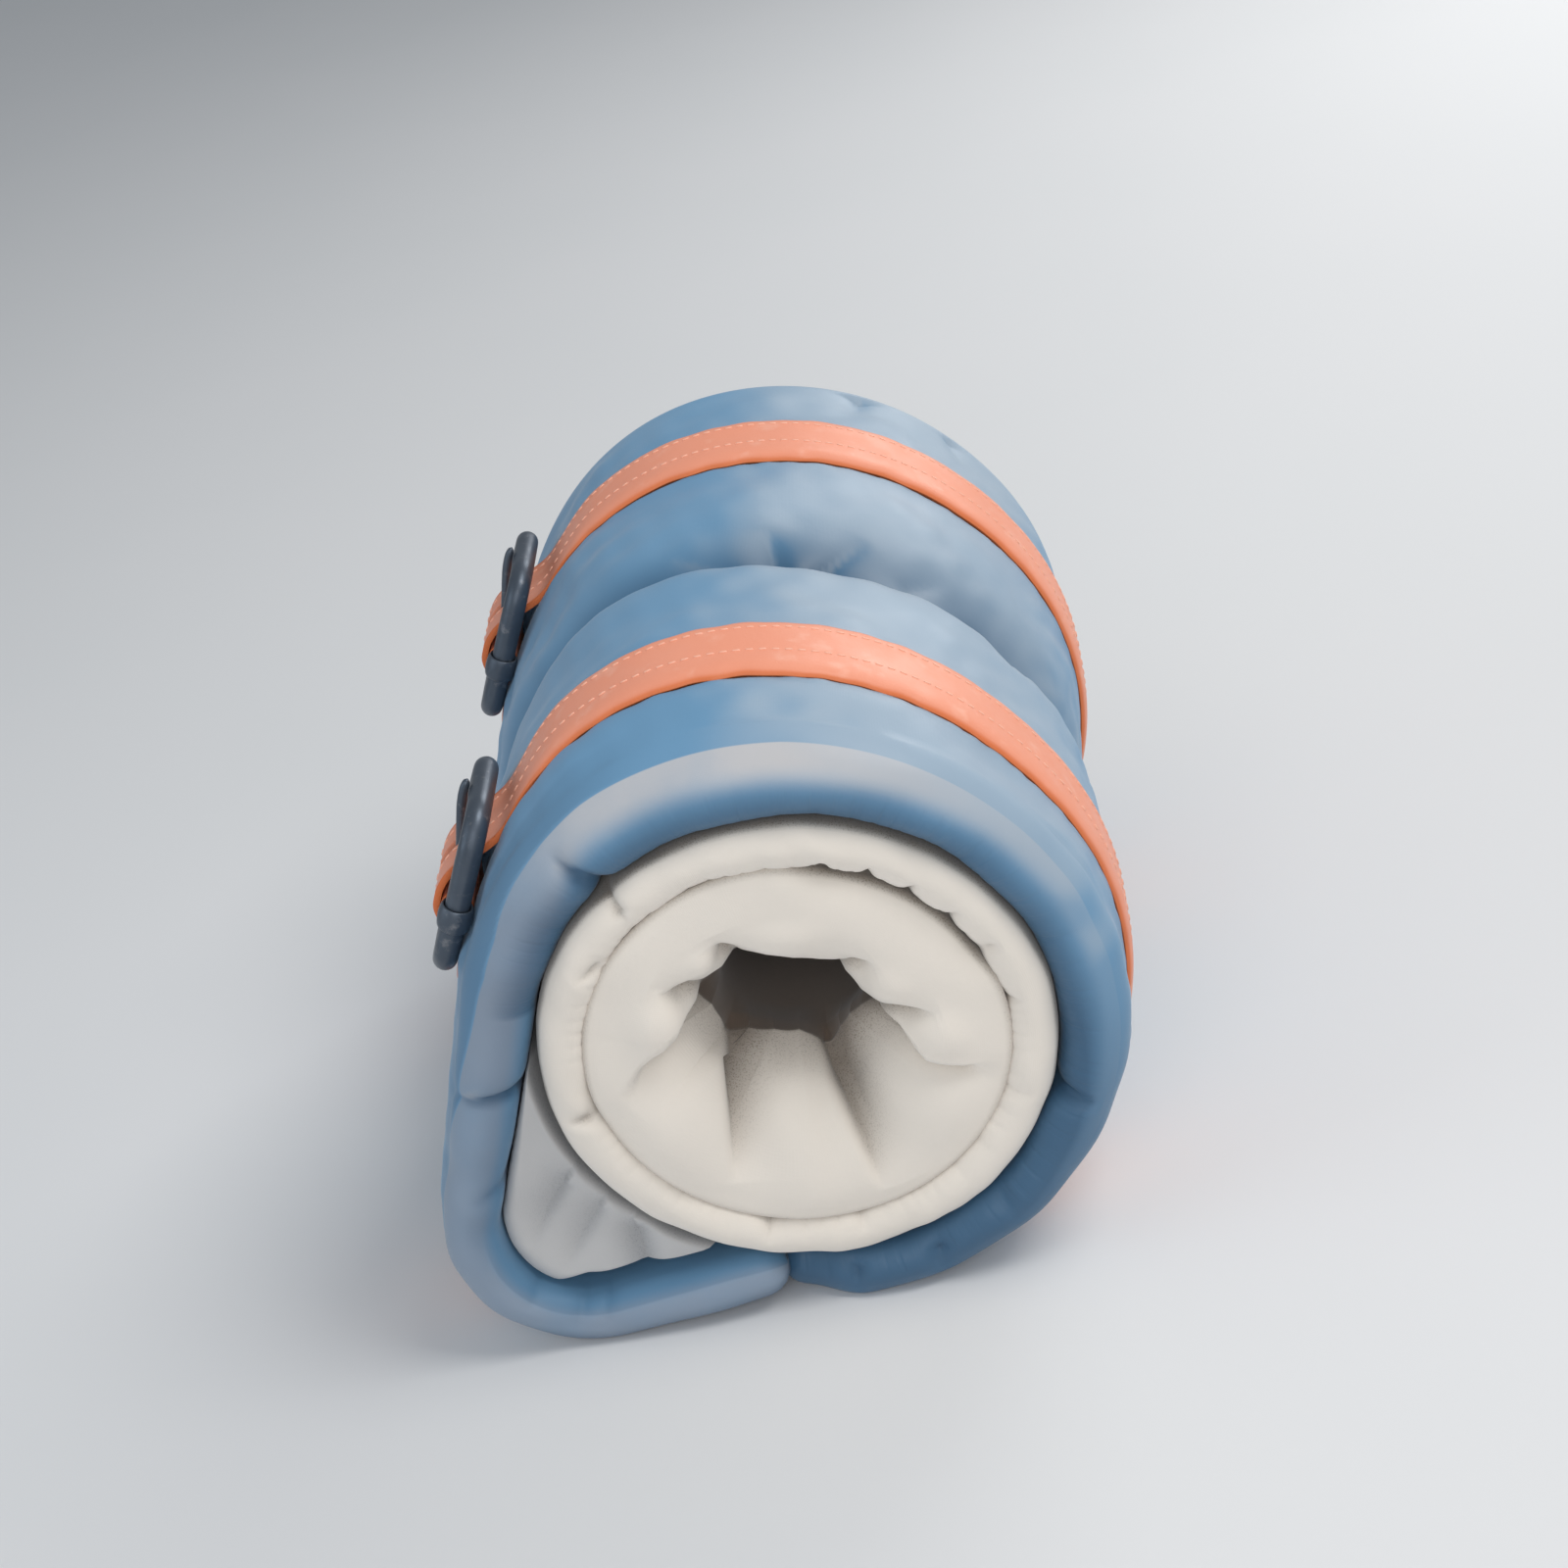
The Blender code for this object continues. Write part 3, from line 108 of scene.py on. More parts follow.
class Finish:
    """A material being wired up round its Principled shader."""

    def __init__(self, name, **constants):
        self.material = bpy.data.materials.new(name)
        self.material.use_nodes = True
        self.tree = self.material.node_tree
        self.shader = self.tree.nodes["Principled BSDF"]
        for socket, value in constants.items():
            self.shader.inputs[socket.replace("_", " ")].default_value = value

    def node(self, kind, settings=None, inputs=None, output=0):
        """Add a node, set its settings, then its sockets to values or links."""
        node = self.tree.nodes.new(kind)
        for key, value in (settings or {}).items():
            setattr(node, key, value)
        for key, value in (inputs or {}).items():
            if isinstance(value, Wire):
                self.tree.links.new(value.socket, node.inputs[key])
            else:
                node.inputs[key].default_value = value
        return Wire(self, node.outputs[output])

    def place(self):
        """The place on the piece, in metres."""
        return self.node("ShaderNodeTexCoord", output="Object")

    def cloth_map(self):
        """The piece's own map, in metres along and across the cloth."""
        return self.node("ShaderNodeUVMap", {"uv_map": "cloth"})

    def painted(self, name):
        """A value painted on the mesh, between 0 and 1."""
        return self.node("ShaderNodeAttribute", {"attribute_name": name}, output="Fac")

    def noise(self, scale, detail=3.0, roughness=0.5):
        """Smooth noise round 0.5, with about this many features to a metre."""
        inputs = {"Vector": self.place(), "Scale": scale, "Detail": detail, "Roughness": roughness}
        return self.node("ShaderNodeTexNoise", {}, inputs)

    def ramp(self, value, low, high, start=0.0, end=1.0):
        """A smooth step: start below low, end above high."""
        settings = {"interpolation_type": "SMOOTHSTEP"}
        return self.node("ShaderNodeMapRange", settings, {0: value, 1: low, 2: high, 3: start, 4: end})

    def mix(self, share, first, second):
        """A colour between two colours."""
        inputs = {0: share, 6: first, 7: second}
        return self.node("ShaderNodeMix", {"data_type": "RGBA"}, inputs, output=2)

    def mottled(self, scale, first, second, detail=3.0):
        """A colour that drifts between two colours."""
        return self.mix(self.noise(scale, detail), first, second)

    def uneven(self, scale, low, high, detail=3.0):
        """A value that drifts between two values, for the roughness."""
        return self.ramp(self.noise(scale, detail), 0.3, 0.7, low, high)

    def threads(self, pitch, depth):
        """Height of a plain weave: two crossing sets of threads of a pitch in metres."""
        vector = self.cloth_map()
        rows = [
            self.node(
                "ShaderNodeTexWave",
                {"bands_direction": direction},
                {"Vector": vector, "Scale": pi / 10 / pitch, "Distortion": 0.6, "Detail": 1.0},
                output="Fac",
            )
            for direction in ("X", "Y")
        ]
        return (rows[0] + rows[1]) * (depth / 2)

    def finish(self, colour, roughness, height=None, strength=0.4):
        """Feed the shader what changes over the surface, and return the material."""
        wires = {"Base Color": colour, "Roughness": roughness}
        if height is not None:
            inputs = {"Strength": strength, "Distance": 1.0, "Height": height}
            wires["Normal"] = self.node("ShaderNodeBump", {}, inputs)
        for socket, wire in wires.items():
            self.tree.links.new(wire.socket, self.shader.inputs[socket])
        return self.material


def mesh_piece(name, vertices, faces, material):
    """A smooth-shaded mesh object from points and faces."""
    mesh = bpy.data.meshes.new(name)
    mesh.from_pydata(vertices, [], faces)
    mesh.materials.append(material)
    mesh.shade_smooth()
    return put_in_scene(name, mesh)


def stage_floor():
    """A pale floor, with the faint unevenness of painted board."""
    paint = Finish("floor_paint", Specular_IOR_Level=0.2)
    speckle = paint.noise(3.0)
    colour = paint.mix(speckle, FLOOR_GREY, FLOOR_PALE_GREY)
    board = paint.finish(colour, paint.ramp(speckle, 0, 1, 0.75, 0.85))
    corners = np.array([(-1, -1, 0), (1, -1, 0), (1, 1, 0), (-1, 1, 0)]) * FLOOR_REACH
    floor = mesh_piece("floor", corners, [(0, 1, 2, 3)], board)


def soft_light(name, place, aim_height, size, power, colour):
    """A square studio light, aimed at a height above the middle of the floor."""
    data = bpy.data.lights.new(name, "AREA")
    data.size = size
    data.energy = power
    data.color = colour
    light = put_in_scene(name, data)
    direction = Vector((0, 0, aim_height)) - Vector(place)
    light.matrix_world = Matrix.Translation(place) @ direction.to_track_quat("-Z", "Y").to_matrix().to_4x4()


stage_floor()
soft_light("key", (1.05, -0.45, 1.85), 0.15, 0.9, 20, (1.0, 0.98, 0.95))
soft_light("front", (0.1, -2.3, 1.2), 0.15, 1.6, 18, (1.0, 0.98, 0.97))
soft_light("fill", (-1.9, -0.7, 1.0), 0.15, 1.4, 8, (0.84, 0.93, 1.0))
soft_light("back", (1.15, 1.75, 1.15), 0.2, 1.3, 20, (1.0, 0.99, 0.97))
world = bpy.data.worlds.new("studio")
world.use_nodes = True
sky = world.node_tree.nodes["Background"]
sky.inputs["Color"].default_value = SKY_COLOUR
sky.inputs["Strength"].default_value = SKY_STRENGTH
bpy.context.scene.world = world


# Outer turn.
# The blue shell of the bag: two layers of nylon with filling between them, wound once round the roll. Its
# loose end hangs down as a slack loop and comes back under the roll as a rounded edge.
TURN_THICKNESS = 0.033
FLAP_THICKNESS = 0.0265
START_ANGLE = radians(-105.5)
TIP_SLOPE = radians(6.5)
TIP_ANGLE = 1.5 * pi + TIP_SLOPE
TIP_GAP = 0.0012
STRAP_WIDTH = 0.044
STRAP_THICKNESS = 0.0032
STRAP_PLACES = (0.069, 0.3125)
STRAP_EMBED = 0.0012
GROOVE_CLEARANCE = 0.0006
CREASE_PLACE = 0.185
CREASE_DEPTH_TOP = 0.0190
CREASE_DEPTH_SIDE = 0.0090
CREASE_WANDER = 0.004
CREASE_NEAR_WIDTH = 0.0065
CREASE_FAR_WIDTH = 0.014
CREASE_RUN_OUT = 0.023
SHELL_STEP = 0.003
START_TUCK = 0.011
TIP_LAP = 0.006
END_ROUND = 0.42
OFF_FLOOR = 0.0001
NEAR_RIM_REACH = 0.030
FAR_RIM_REACH = (0.040, 0.014)
LEFT_SIDE_RUN = (0.585, 0.650)
FREE_CLOTH_REACH = 0.012
BESIDE_STRAP_REACH = 0.008
BESIDE_STRAP_RISE = 0.0016
BELOW_BUCKLE = np.radians([151, 159, 168, 190])
BELOW_BUCKLE_PLACE = 0.014
BELOW_BUCKLE_REACH = 0.016
BELOW_BUCKLE_RISE = 0.0036

CROWN_RISE_NEAR = 0.0135
CROWN_RISE_FAR = 0.0070
CROWN_ANGLE = radians(97)
CROWN_SPAN_RIGHT = radians(68)
CROWN_SPAN_LEFT = radians(52)
CROWN_NEAR_END = 0.0415
CROWN_FAR_START = 0.0165
CROWN_FAR_END = 0.0045
GROOVE_SHOULDER = 0.005
LINING_DROP = 0.0055

BUCKLE_ANGLE = radians(153)
BAR_OFFSET = 0.0070
FRAME_LOWER = 0.0305
BUCKLE_SINK = 0.0046
SINK_LENGTH = 0.040
SINK_END = (0.140, 0.196)
SINK_ROOM = 1.15
LOWER_FOOT = FRAME_LOWER - BAR_OFFSET

SHELL_BLUE = (0.125, 0.275, 0.440, 1)
SHELL_PALE_BLUE = (0.155, 0.315, 0.485, 1)
# Paler blue painted where the cloth faces up and to the right: a painted highlight.
HIGHLIGHT_BLUE = (0.370, 0.435, 0.500, 1)
# Dark blue painted in the folds, the crease's valley, under the turn and beside the lining: painted shade.
SHADOW_BLUE = (0.030, 0.085, 0.160, 1)
RUBBED_GREY = (0.500, 0.495, 0.505, 1)
# A darker grey painted on the rim's grey band along the left side, as shade.
SHADED_BAND_GREY = (0.300, 0.310, 0.348, 1)

SLACK_CENTRE = -np.array([ROLL_RADIUS + SLACK_OVERHANG - SLACK_RADIUS, ROLL_RADIUS - SLACK_RADIUS])


def polar(radius, angle):
    """Points at a radius and angle about the roll's axis, seen from the near end."""
    return np.stack([radius * np.cos(angle), radius * np.sin(angle)], axis=-1)


def in_space(flat, along=0.0):
    """Directions of the roll's cross-section as directions in space, with a part along the roll."""
    return np.stack([flat[..., 0], np.broadcast_to(along, flat.shape[:-1]), flat[..., 1]], axis=-1)


def in_place(flat, depth):
    """Points of the roll's cross-section, carried to a depth from the near end."""
    return in_space(flat, depth) + AXIS_PLACE


def unit(vectors):
    """Vectors divided by their lengths."""
    return vectors / np.maximum(np.linalg.norm(vectors, axis=-1, keepdims=True), 1e-12)


def run_along(points):
    """Distance along a path, at each of its points."""
    return np.concatenate([[0], np.cumsum(np.linalg.norm(np.diff(points, axis=0), axis=1))])


def smooth_step(value, low, high):
    """0 below low, 1 above high, and an S curve between."""
    share = np.clip((value - low) / (high - low), 0, 1)
    return share * share * (3 - 2 * share)


def plateau(value, start, full, fall, end):
    """1 from full to fall and 0 outside start and end, with an S curve on each side."""
    return smooth_step(value, start, full) * (1 - smooth_step(value, fall, end))


def quarter_drop(share):
    """0 at share 0 and 1 at share 1, along a quarter circle."""
    return 1 - np.sqrt(np.maximum(1 - np.clip(share, 0, 1) ** 2, 0))


def swell(points, wave, seed, count=14):
    """Smooth unevenness between about -1 and 1: a sum of sine waves in random directions."""
    draw = np.random.default_rng(seed)
    directions = unit(draw.normal(size=(count, 3)))
    directions *= 2 * pi / wave * draw.uniform(0.6, 1.5, size=(count, 1))
    phases = draw.uniform(0, 2 * pi, count)
    return np.sin(points @ directions.T + phases).sum(axis=-1) / sqrt(count)


def folds(x, z, lines):
    """Depth of drawn folds: each falls off with the distance to its line and fades towards the line's end.

    A line is its deep end (x, z), its shallow end (x, z), its depth, and its width on its left and on its
    right, in millimetres. A fold that is narrow on one side looks like cloth lapped over cloth.
    """
    depth = np.zeros_like(x)
    for start_x, start_z, end_x, end_z, deep, left, right in np.array(lines) / 1000:
        run_x, run_z = end_x - start_x, end_z - start_z
        off_x, off_z = x - start_x, z - start_z
        share = np.clip((off_x * run_x + off_z * run_z) / (run_x**2 + run_z**2), 0, 1)
        distance = np.hypot(off_x - share * run_x, off_z - share * run_z)
        width = np.where(run_x * off_z > run_z * off_x, left, right)
        depth += deep * (1 - share**2) * np.exp(-((distance / width) ** 1.15))
    return depth


def puffs(x, z, lines):
    """Height of soft swellings: each is its middle (x, z), its reaches along x and z, and its height.

    They are given in millimetres. A swelling falls off with the distance in shares of its reaches.
    """
    height = np.zeros_like(x)
    for middle_x, middle_z, reach_x, reach_z, high in np.array(lines) / 1000:
        away = ((x - middle_x) / reach_x) ** 2 + ((z - middle_z) / reach_z) ** 2
        height += high * np.exp(-(away**1.2))
    return height


def surface_normals(points, wrap_rows, wrap_columns):
    """Unit normals of a grid of points, from the cross product of its two directions."""
    steps = []
    for axis, wrap in ((0, wrap_rows), (1, wrap_columns)):
        step = np.roll(points, -1, axis) - np.roll(points, 1, axis)
        if not wrap:
            edge = np.gradient(points, axis=axis)
            take = [slice(None)] * 3
            for end in (0, -1):
                take[axis] = end
                step[tuple(take)] = edge[tuple(take)]
        steps.append(step)
    return unit(np.cross(*steps))


def quad_corners(rows, columns, wrap_rows=False, wrap_columns=True):
    """Rows and columns of the four corners of each quad of a grid, counted on past a closed edge."""
    spans = np.arange(rows if wrap_rows else rows - 1), np.arange(columns if wrap_columns else columns - 1)
    row, column = np.meshgrid(*spans, indexing="ij")
    corner_rows = np.stack([row, row, row + 1, row + 1], axis=-1)
    corner_columns = np.stack([column, column + 1, column + 1, column], axis=-1)
    return corner_rows, corner_columns


def grid_piece(name, points, material, wrap_rows=False, wrap_columns=True, paint=None, kept=None):
    """A mesh of quads from a grid of points, with its own map in metres and painted values.

    Where the columns wrap and the rows don't, a fan closes each end. Faces are turned outwards.
    """
    rows, columns = points.shape[:2]
    corner_rows, corner_columns = quad_corners(rows, columns, wrap_rows, wrap_columns)
    spans = corner_rows.shape[:2]
    if kept is None:
        kept = np.full(spans, True)
    corner_rows, corner_columns = corner_rows[kept], corner_columns[kept]
    vertices = points.reshape(-1, 3)
    faces = ((corner_rows % rows) * columns + corner_columns % columns).tolist()
    if wrap_columns and not wrap_rows:
        ring = np.arange(columns)
        for end, order in ((0, 1), (rows - 1, -1)):
            vertices = np.concatenate([vertices, points[end].mean(axis=0)[None]])
            around = (end * columns + np.stack([np.roll(ring, -1), ring], axis=1))[:, ::order]
            centre = np.full((columns, 1), len(vertices) - 1)
            faces += np.concatenate([around, centre], axis=1).tolist()
    piece = mesh_piece(name, vertices, faces, material)
    mesh = piece.data
    lengths = []
    for axis in (0, 1):
        line = np.take(points, points.shape[1 - axis] // 3, axis=1 - axis)
        lengths.append(run_along(np.concatenate([line, line[:1]])[: spans[axis] + 1]))
    corners = np.stack([lengths[0][corner_rows], lengths[1][corner_columns]], axis=-1).reshape(-1, 2)
    flat = np.zeros((len(mesh.loops), 2))
    flat[: len(corners)] = corners
    mesh.uv_layers.new(name="cloth").data.foreach_set("uv", flat.ravel())
    for key, value in (paint or {}).items():
        full = np.zeros(len(vertices))
        full[: rows * columns] = np.broadcast_to(value, points.shape[:2]).ravel()
        mesh.attributes.new(key, "FLOAT", "POINT").data.foreach_set("value", full.astype(np.float32))
    face_outwards(mesh)
    return piece


def face_outwards(mesh):
    """Turn a closed mesh's faces over if its signed volume is negative."""
    corners = np.zeros(len(mesh.vertices) * 3)
    mesh.vertices.foreach_get("co", corners)
    corners = corners.reshape(-1, 3)
    mesh.calc_loop_triangles()
    triangles = np.zeros(len(mesh.loop_triangles) * 3, np.int32)
    mesh.loop_triangles.foreach_get("vertices", triangles)
    a, b, c = (corners[triangles.reshape(-1, 3)[:, i]] for i in range(3))
    if (a * np.cross(b, c)).sum() < 0:
        mesh.flip_normals()


def leave_angle():
    """The angle at which the turn's outer face leaves the roll and runs straight to the slack loop."""
    towards = atan2(SLACK_CENTRE[1], SLACK_CENTRE[0]) + 2 * pi
    return towards - acos((ROLL_RADIUS - SLACK_RADIUS) / hypot(*SLACK_CENTRE))


LEAVE_ANGLE = leave_angle()


def crown_rise(angle, depth):
    """How far the outer face stands out over the top of the roll, at an angle and a depth."""
    turned = np.mod(angle + pi / 2, 2 * pi) - pi / 2 - CROWN_ANGLE
    share = 1 - np.clip(turned / np.where(turned > 0, CROWN_SPAN_LEFT, CROWN_SPAN_RIGHT), -1, 1) ** 2
    level = STRAP_WIDTH / 2 + GROOVE_SHOULDER
    slope = [STRAP_PLACES[0] + level, STRAP_PLACES[1] - level]
    rise = np.interp(depth, slope, [CROWN_RISE_NEAR, CROWN_RISE_FAR])
    ends = plateau(depth, 0, CROWN_NEAR_END, ROLL_LENGTH - CROWN_FAR_START, ROLL_LENGTH - CROWN_FAR_END)
    return share**2 * rise * ends


def turn_line(step):
    """Stations along the turn's outer face: points, normals, half thickness, arc angle, run and length.

    The line is an arc round the roll, a tangent, the slack loop's arc and the sloping tip. It is worked out
    finely and then taken at even steps, with closer ones at both ends.
    """
    fine = 0.0005
    arc = np.arange(START_ANGLE, LEAVE_ANGLE, fine / ROLL_RADIUS)
    slack = np.arange(LEAVE_ANGLE, TIP_ANGLE, fine / SLACK_RADIUS)
    arc_points = polar(ROLL_RADIUS, arc)
    slack_points = SLACK_CENTRE + polar(SLACK_RADIUS, slack)
    straight = slack_points[0] - arc_points[-1]
    share = np.arange(0, 1, fine / hypot(*straight))[1:, None]
    ahead = polar(1, TIP_SLOPE)
    inward = np.array([-ahead[1], ahead[0]])
    middle = slack_points[-1] + inward * FLAP_THICKNESS / 2
    start_half = (TURN_THICKNESS + LINING_DROP * sin(START_ANGLE)) / 2
    start_apex = (ROLL_RADIUS - start_half) * cos(START_ANGLE)
    tip_length = (start_apex - TIP_GAP - middle[0]) / ahead[0]
    tip_run = np.arange(fine, tip_length, fine)[:, None]
    points = np.concatenate(
        [arc_points, arc_points[-1] + share * straight, slack_points, slack_points[-1] + tip_run * ahead]
    )
    straight_angle, tip_angle = np.full(len(share), LEAVE_ANGLE), np.full(len(tip_run), TIP_ANGLE)
    angles = np.concatenate([arc, straight_angle, slack, tip_angle])
    run = run_along(points)
    tangent_run = run[len(arc)], run[len(arc) + len(share)]
    stations = np.linspace(0, run[-1], int(run[-1] / step))
    close = np.array([0, step / 8, step / 2.5])
    stations = np.concatenate([close, stations[1:-1], run[-1] - close[::-1]])
    flat = np.stack([np.interp(stations, run, points[:, axis]) for axis in (0, 1)], axis=-1)
    angle = np.interp(stations, run, angles)
    normal = polar(1, angle)
    round_thickness = TURN_THICKNESS + LINING_DROP * normal[:, 1]
    on_roll = np.interp(stations, tangent_run, [1, 0])
    thickness = FLAP_THICKNESS + (round_thickness - FLAP_THICKNESS) * on_roll
    return flat, normal, thickness / 2, angle, stations, run[-1]


def end_fullness(distance, round_off):
    """How full a padded strip is near its rounded end: a quarter circle up to 1."""
    share = np.clip(1 - distance / round_off, 0, 1)
    return np.sqrt(np.maximum(1 - share * share, 0.004))


def foot_run(angle, flat):
    """Distance past the buckle's foot, round the roll and down the straight below it."""
    leave = polar(ROLL_RADIUS, LEAVE_ANGLE)
    past_arc = (flat - leave) @ np.array([-sin(LEAVE_ANGLE), cos(LEAVE_ANGLE)])
    on_arc = ROLL_RADIUS * (np.minimum(angle, LEAVE_ANGLE) - BUCKLE_ANGLE)
    return on_arc + np.where(angle >= LEAVE_ANGLE - 1e-6, np.maximum(past_arc, 0), 0)


def sink_depth(past_foot):
    """Extra depth of the strap from the buckle's lower rod down to the slack loop, in the fuller cloth."""
    return (BUCKLE_SINK - STRAP_EMBED) * plateau(past_foot, -BAR_OFFSET, LOWER_FOOT * 0.75, *SINK_END)


RIM_CREASES = [
    (-60, 95, -83, 123, 8, 5, 3.6),
    (108, -53, 129, -62.3, 8.5, 4, 4.4),
    (-0.7, -132, -3.9, -146, 6, 3.6, 3.6),
    (40, -128, 39.9, -141.3, 7, 4.6, 4.6),
    (74, -105, 82, -120, 4, 5, 5),
    (-129, -1, -166, 3, 6.8, 4, 3.4),
    (-144, -50, -172, -54, 3.4, 7, 7),
    (-144, -106, -158, -121, 3.4, 4.4, 4.4),
    (-130, -123, -140, -139, 3.4, 4.4, 4.4),
    (-120, -126, -127, -141, 2.4, 4, 4),
]
TOP_WRINKLES = [
    (-6, 190, -14, 218, 8.5, 6, 5),
    (12, 190, 36, 216, 9, 5, 9),
    (109, 184, 118, 160, 4.2, 3, 6),
    (-34, 192, -60, 206, 3.5, 6, 6),
    (60, 196, 84, 218, 4, 9, 7),
    (102, 190, 130, 168, 5.5, 6, 5),
    (39, 402, 28, 366, 5, 7, 6),
    (88, 400, 94, 372, 3, 6, 6),
]
WRINKLE_ZERO = radians(77)
GATHER_PITCH = 0.0245
# The direction that the painted highlight faces: up and to the right.
HIGHLIGHT_SIDE = np.array([0.64, 0.0, 0.77])
WORN_RUNS = [0.30, 0.42, 0.49, 0.585, 0.610, 0.633, 0.650, 0.662, 0.684, 0.727, 0.757, 0.785, 0.86, 1.2]
WORN_EDGES = [40, 55, 64, 64, 60, 51, 41, 32, 26, 43, 56, 80, 100, 100]
WORN_STRENGTHS = [0.10, 0.55, 1.0, 0.85, 0.76, 0.70, 0.68, 0.68, 0.70, 0.68, 0.64, 0.62, 0.64, 0.66]


def shell_section():
    """Parameters round the turn's section, from the near rim over the outer side to the far rim and back.

    Returns the share of the half thickness across the turn, the share of the rim's reach, which end it lies
    on (-1 near, 1 far, 0 for the two sides), and the sides' depths.
    """
    rim = np.radians(np.linspace(90, -90, 43))
    fine = np.array([-6, -3.5, -2, -1, 0, 1, 2, 3.5, 6]) / 1000
    edges = [place + side * STRAP_WIDTH / 2 + fine for place in STRAP_PLACES for side in (-1, 1)]
    margin = TURN_THICKNESS / 2
    outer = np.sort(np.concatenate([np.linspace(margin, ROLL_LENGTH - margin, 104)[1:-1], *edges]))
    inner = np.linspace(margin, ROLL_LENGTH - margin, 14)[1:-1]
    rim_none, outer_none, inner_none = np.zeros(len(rim)), np.zeros(len(outer)), np.zeros(len(inner))
    across = np.concatenate([np.sin(rim)[::-1], outer_none + 1, np.sin(rim), inner_none - 1])
    reach = np.concatenate([np.cos(rim), outer_none, np.cos(rim), inner_none])
    end = np.concatenate([rim_none - 1, outer_none, rim_none + 1, inner_none])
    depth = np.concatenate([rim_none, outer, rim_none, inner[::-1]])
    return across, reach, end, depth


def middle_crease(grid, along, angle, height):
    """Depth of the crease round the turn's middle, and the painted shade of its valley.

    It is deepest on top. Its near slope falls off quickly and its far one slowly, most of all on the right,
    and its line and its depth wander.
    """
    flattened = grid * [1, 0, 1]
    deep = CREASE_DEPTH_SIDE + (CREASE_DEPTH_TOP - CREASE_DEPTH_SIDE) * height
    deep = deep * (1 + 0.12 * swell(flattened, 0.09, 6))
    beyond = along - CREASE_PLACE - CREASE_WANDER * swell(flattened, 0.20, 3)
    deep_near = deep * np.exp(-np.maximum(-beyond, 0) / CREASE_NEAR_WIDTH)
    far_width = CREASE_FAR_WIDTH + CREASE_RUN_OUT * (1 - smooth_step(angle, radians(55), radians(110)))
    far = np.maximum(beyond, 0) / far_width
    return deep_near * np.exp(-(far**1.3)), deep_near / CREASE_DEPTH_TOP * np.exp(-((far / 1.25) ** 2))


def swelling_by_straps(grid, along, angle, from_strap):
    """Height of the cloth that stands up beside the straps: puckered, and fuller below the buckles."""
    clear = np.maximum(from_strap, 0)
    pucker = swell(grid, 0.013, 5) * np.exp(-clear / 0.004)
    beside = np.exp(-clear / BESIDE_STRAP_REACH) * (from_strap > 0) * (BESIDE_STRAP_RISE + 0.0005 * pucker)
    fullest = [place - STRAP_WIDTH / 2 - BELOW_BUCKLE_PLACE for place in STRAP_PLACES]
    near_side = sum(np.exp(-(((along - place) / BELOW_BUCKLE_REACH) ** 2)) for place in fullest)
    return beside + BELOW_BUCKLE_RISE * near_side * plateau(angle, *BELOW_BUCKLE)


def shell_colouring(grid, run, angle, across, end, near_rim, creases, valley_shade):
    """Painted values of the shell, each between 0 and 1.

    Worn and the inside edge follow the rubbed grey band along the near rim, which is painted darker on
    the left side as shade. The painted shade darkens the folds, the crease's valley, the turn's underside,
    the left side and where the rim tucks in. Gathered is where the inner rim has tucks. The painted
    highlight is paler blue on the cloth above the roll's axis that faces up and to the right.
    """
    outer_side = (end == 0) & (across > 0)
    on_roll = angle < LEAVE_ANGLE
    turned = np.degrees(angle)
    on_loop = smooth_step(turned, 162, 200)
    left_side = smooth_step(run, *LEFT_SIDE_RUN)
    rim_angle = np.degrees(np.arcsin(np.clip(across, -1, 1)))
    edge_angle = np.interp(run, WORN_RUNS, WORN_EDGES)
    full_from = (edge_angle - 22) * (1 - left_side) + np.minimum(edge_angle - 12, -20) * left_side
    worn = smooth_step(rim_angle, -6 - 54 * left_side, full_from) * (end < 0)
    worn = worn * np.interp(run, WORN_RUNS, WORN_STRENGTHS)
    round_rim = rim_angle + 90 * outer_side
    inside_edge = np.clip(0.5 + (edge_angle - round_rim) / 60, 0, 1)

    # Painted shade: under the turn, on a strip down the left side, beside the lining where the rim tucks in,
    # in the folds, in the crease's valley and on the left side.
    underside_shade = smooth_step(turned, 200, 250) * smooth_step(round_rim, 0, 70)
    underside_shade = underside_shade + 1 - smooth_step(turned, -60, 20)
    left_strip_shade = smooth_step(run, 0.540, 0.610) * smooth_step(round_rim - edge_angle, 0, 6)
    left_strip_shade = left_strip_shade * near_rim**0.3 * (1 - smooth_step(turned, 165, 200))
    tucked_shade = smooth_step(-across, -0.45, 0.85) * near_rim**0.7 * (end < 0)
    deep = smooth_step(creases, 0.0006, 0.005) * (0.75 - 0.6 * on_loop) + tucked_shade * (0.45 + 0.55 * on_roll)
    deep = deep - 0.35 * tucked_shade * on_loop * (across > -0.5) + 0.95 * valley_shade * outer_side + 0.46 * left_strip_shade
    deep = deep + (0.95 * underside_shade + 0.09 * left_side * (1 - on_loop)) * near_rim**0.5

    # Painted highlight: paler where the cloth above the axis faces up and to the right.
    outwards = surface_normals(grid, False, True) * (1, 0, 1)
    facing = np.abs(outwards @ (HIGHLIGHT_SIDE / np.linalg.norm(HIGHLIGHT_SIDE)))
    facing = facing / (np.linalg.norm(outwards, axis=-1) + 1e-6)
    open_side = np.maximum(outer_side | (end > 0), smooth_step(rim_angle, 0, 40))
    return {
        "worn": worn,
        "painted_shade": np.clip(deep, 0, 1),
        "gathered": smooth_step(-across, -0.5, 0.4) * near_rim * on_roll,
        "painted_highlight": smooth_step(facing, 0.70, 1.0) * open_side * (grid[..., 2] > AXIS_PLACE[2]),
        "inside_edge": inside_edge,
        "left_band_shade": left_side,
    }


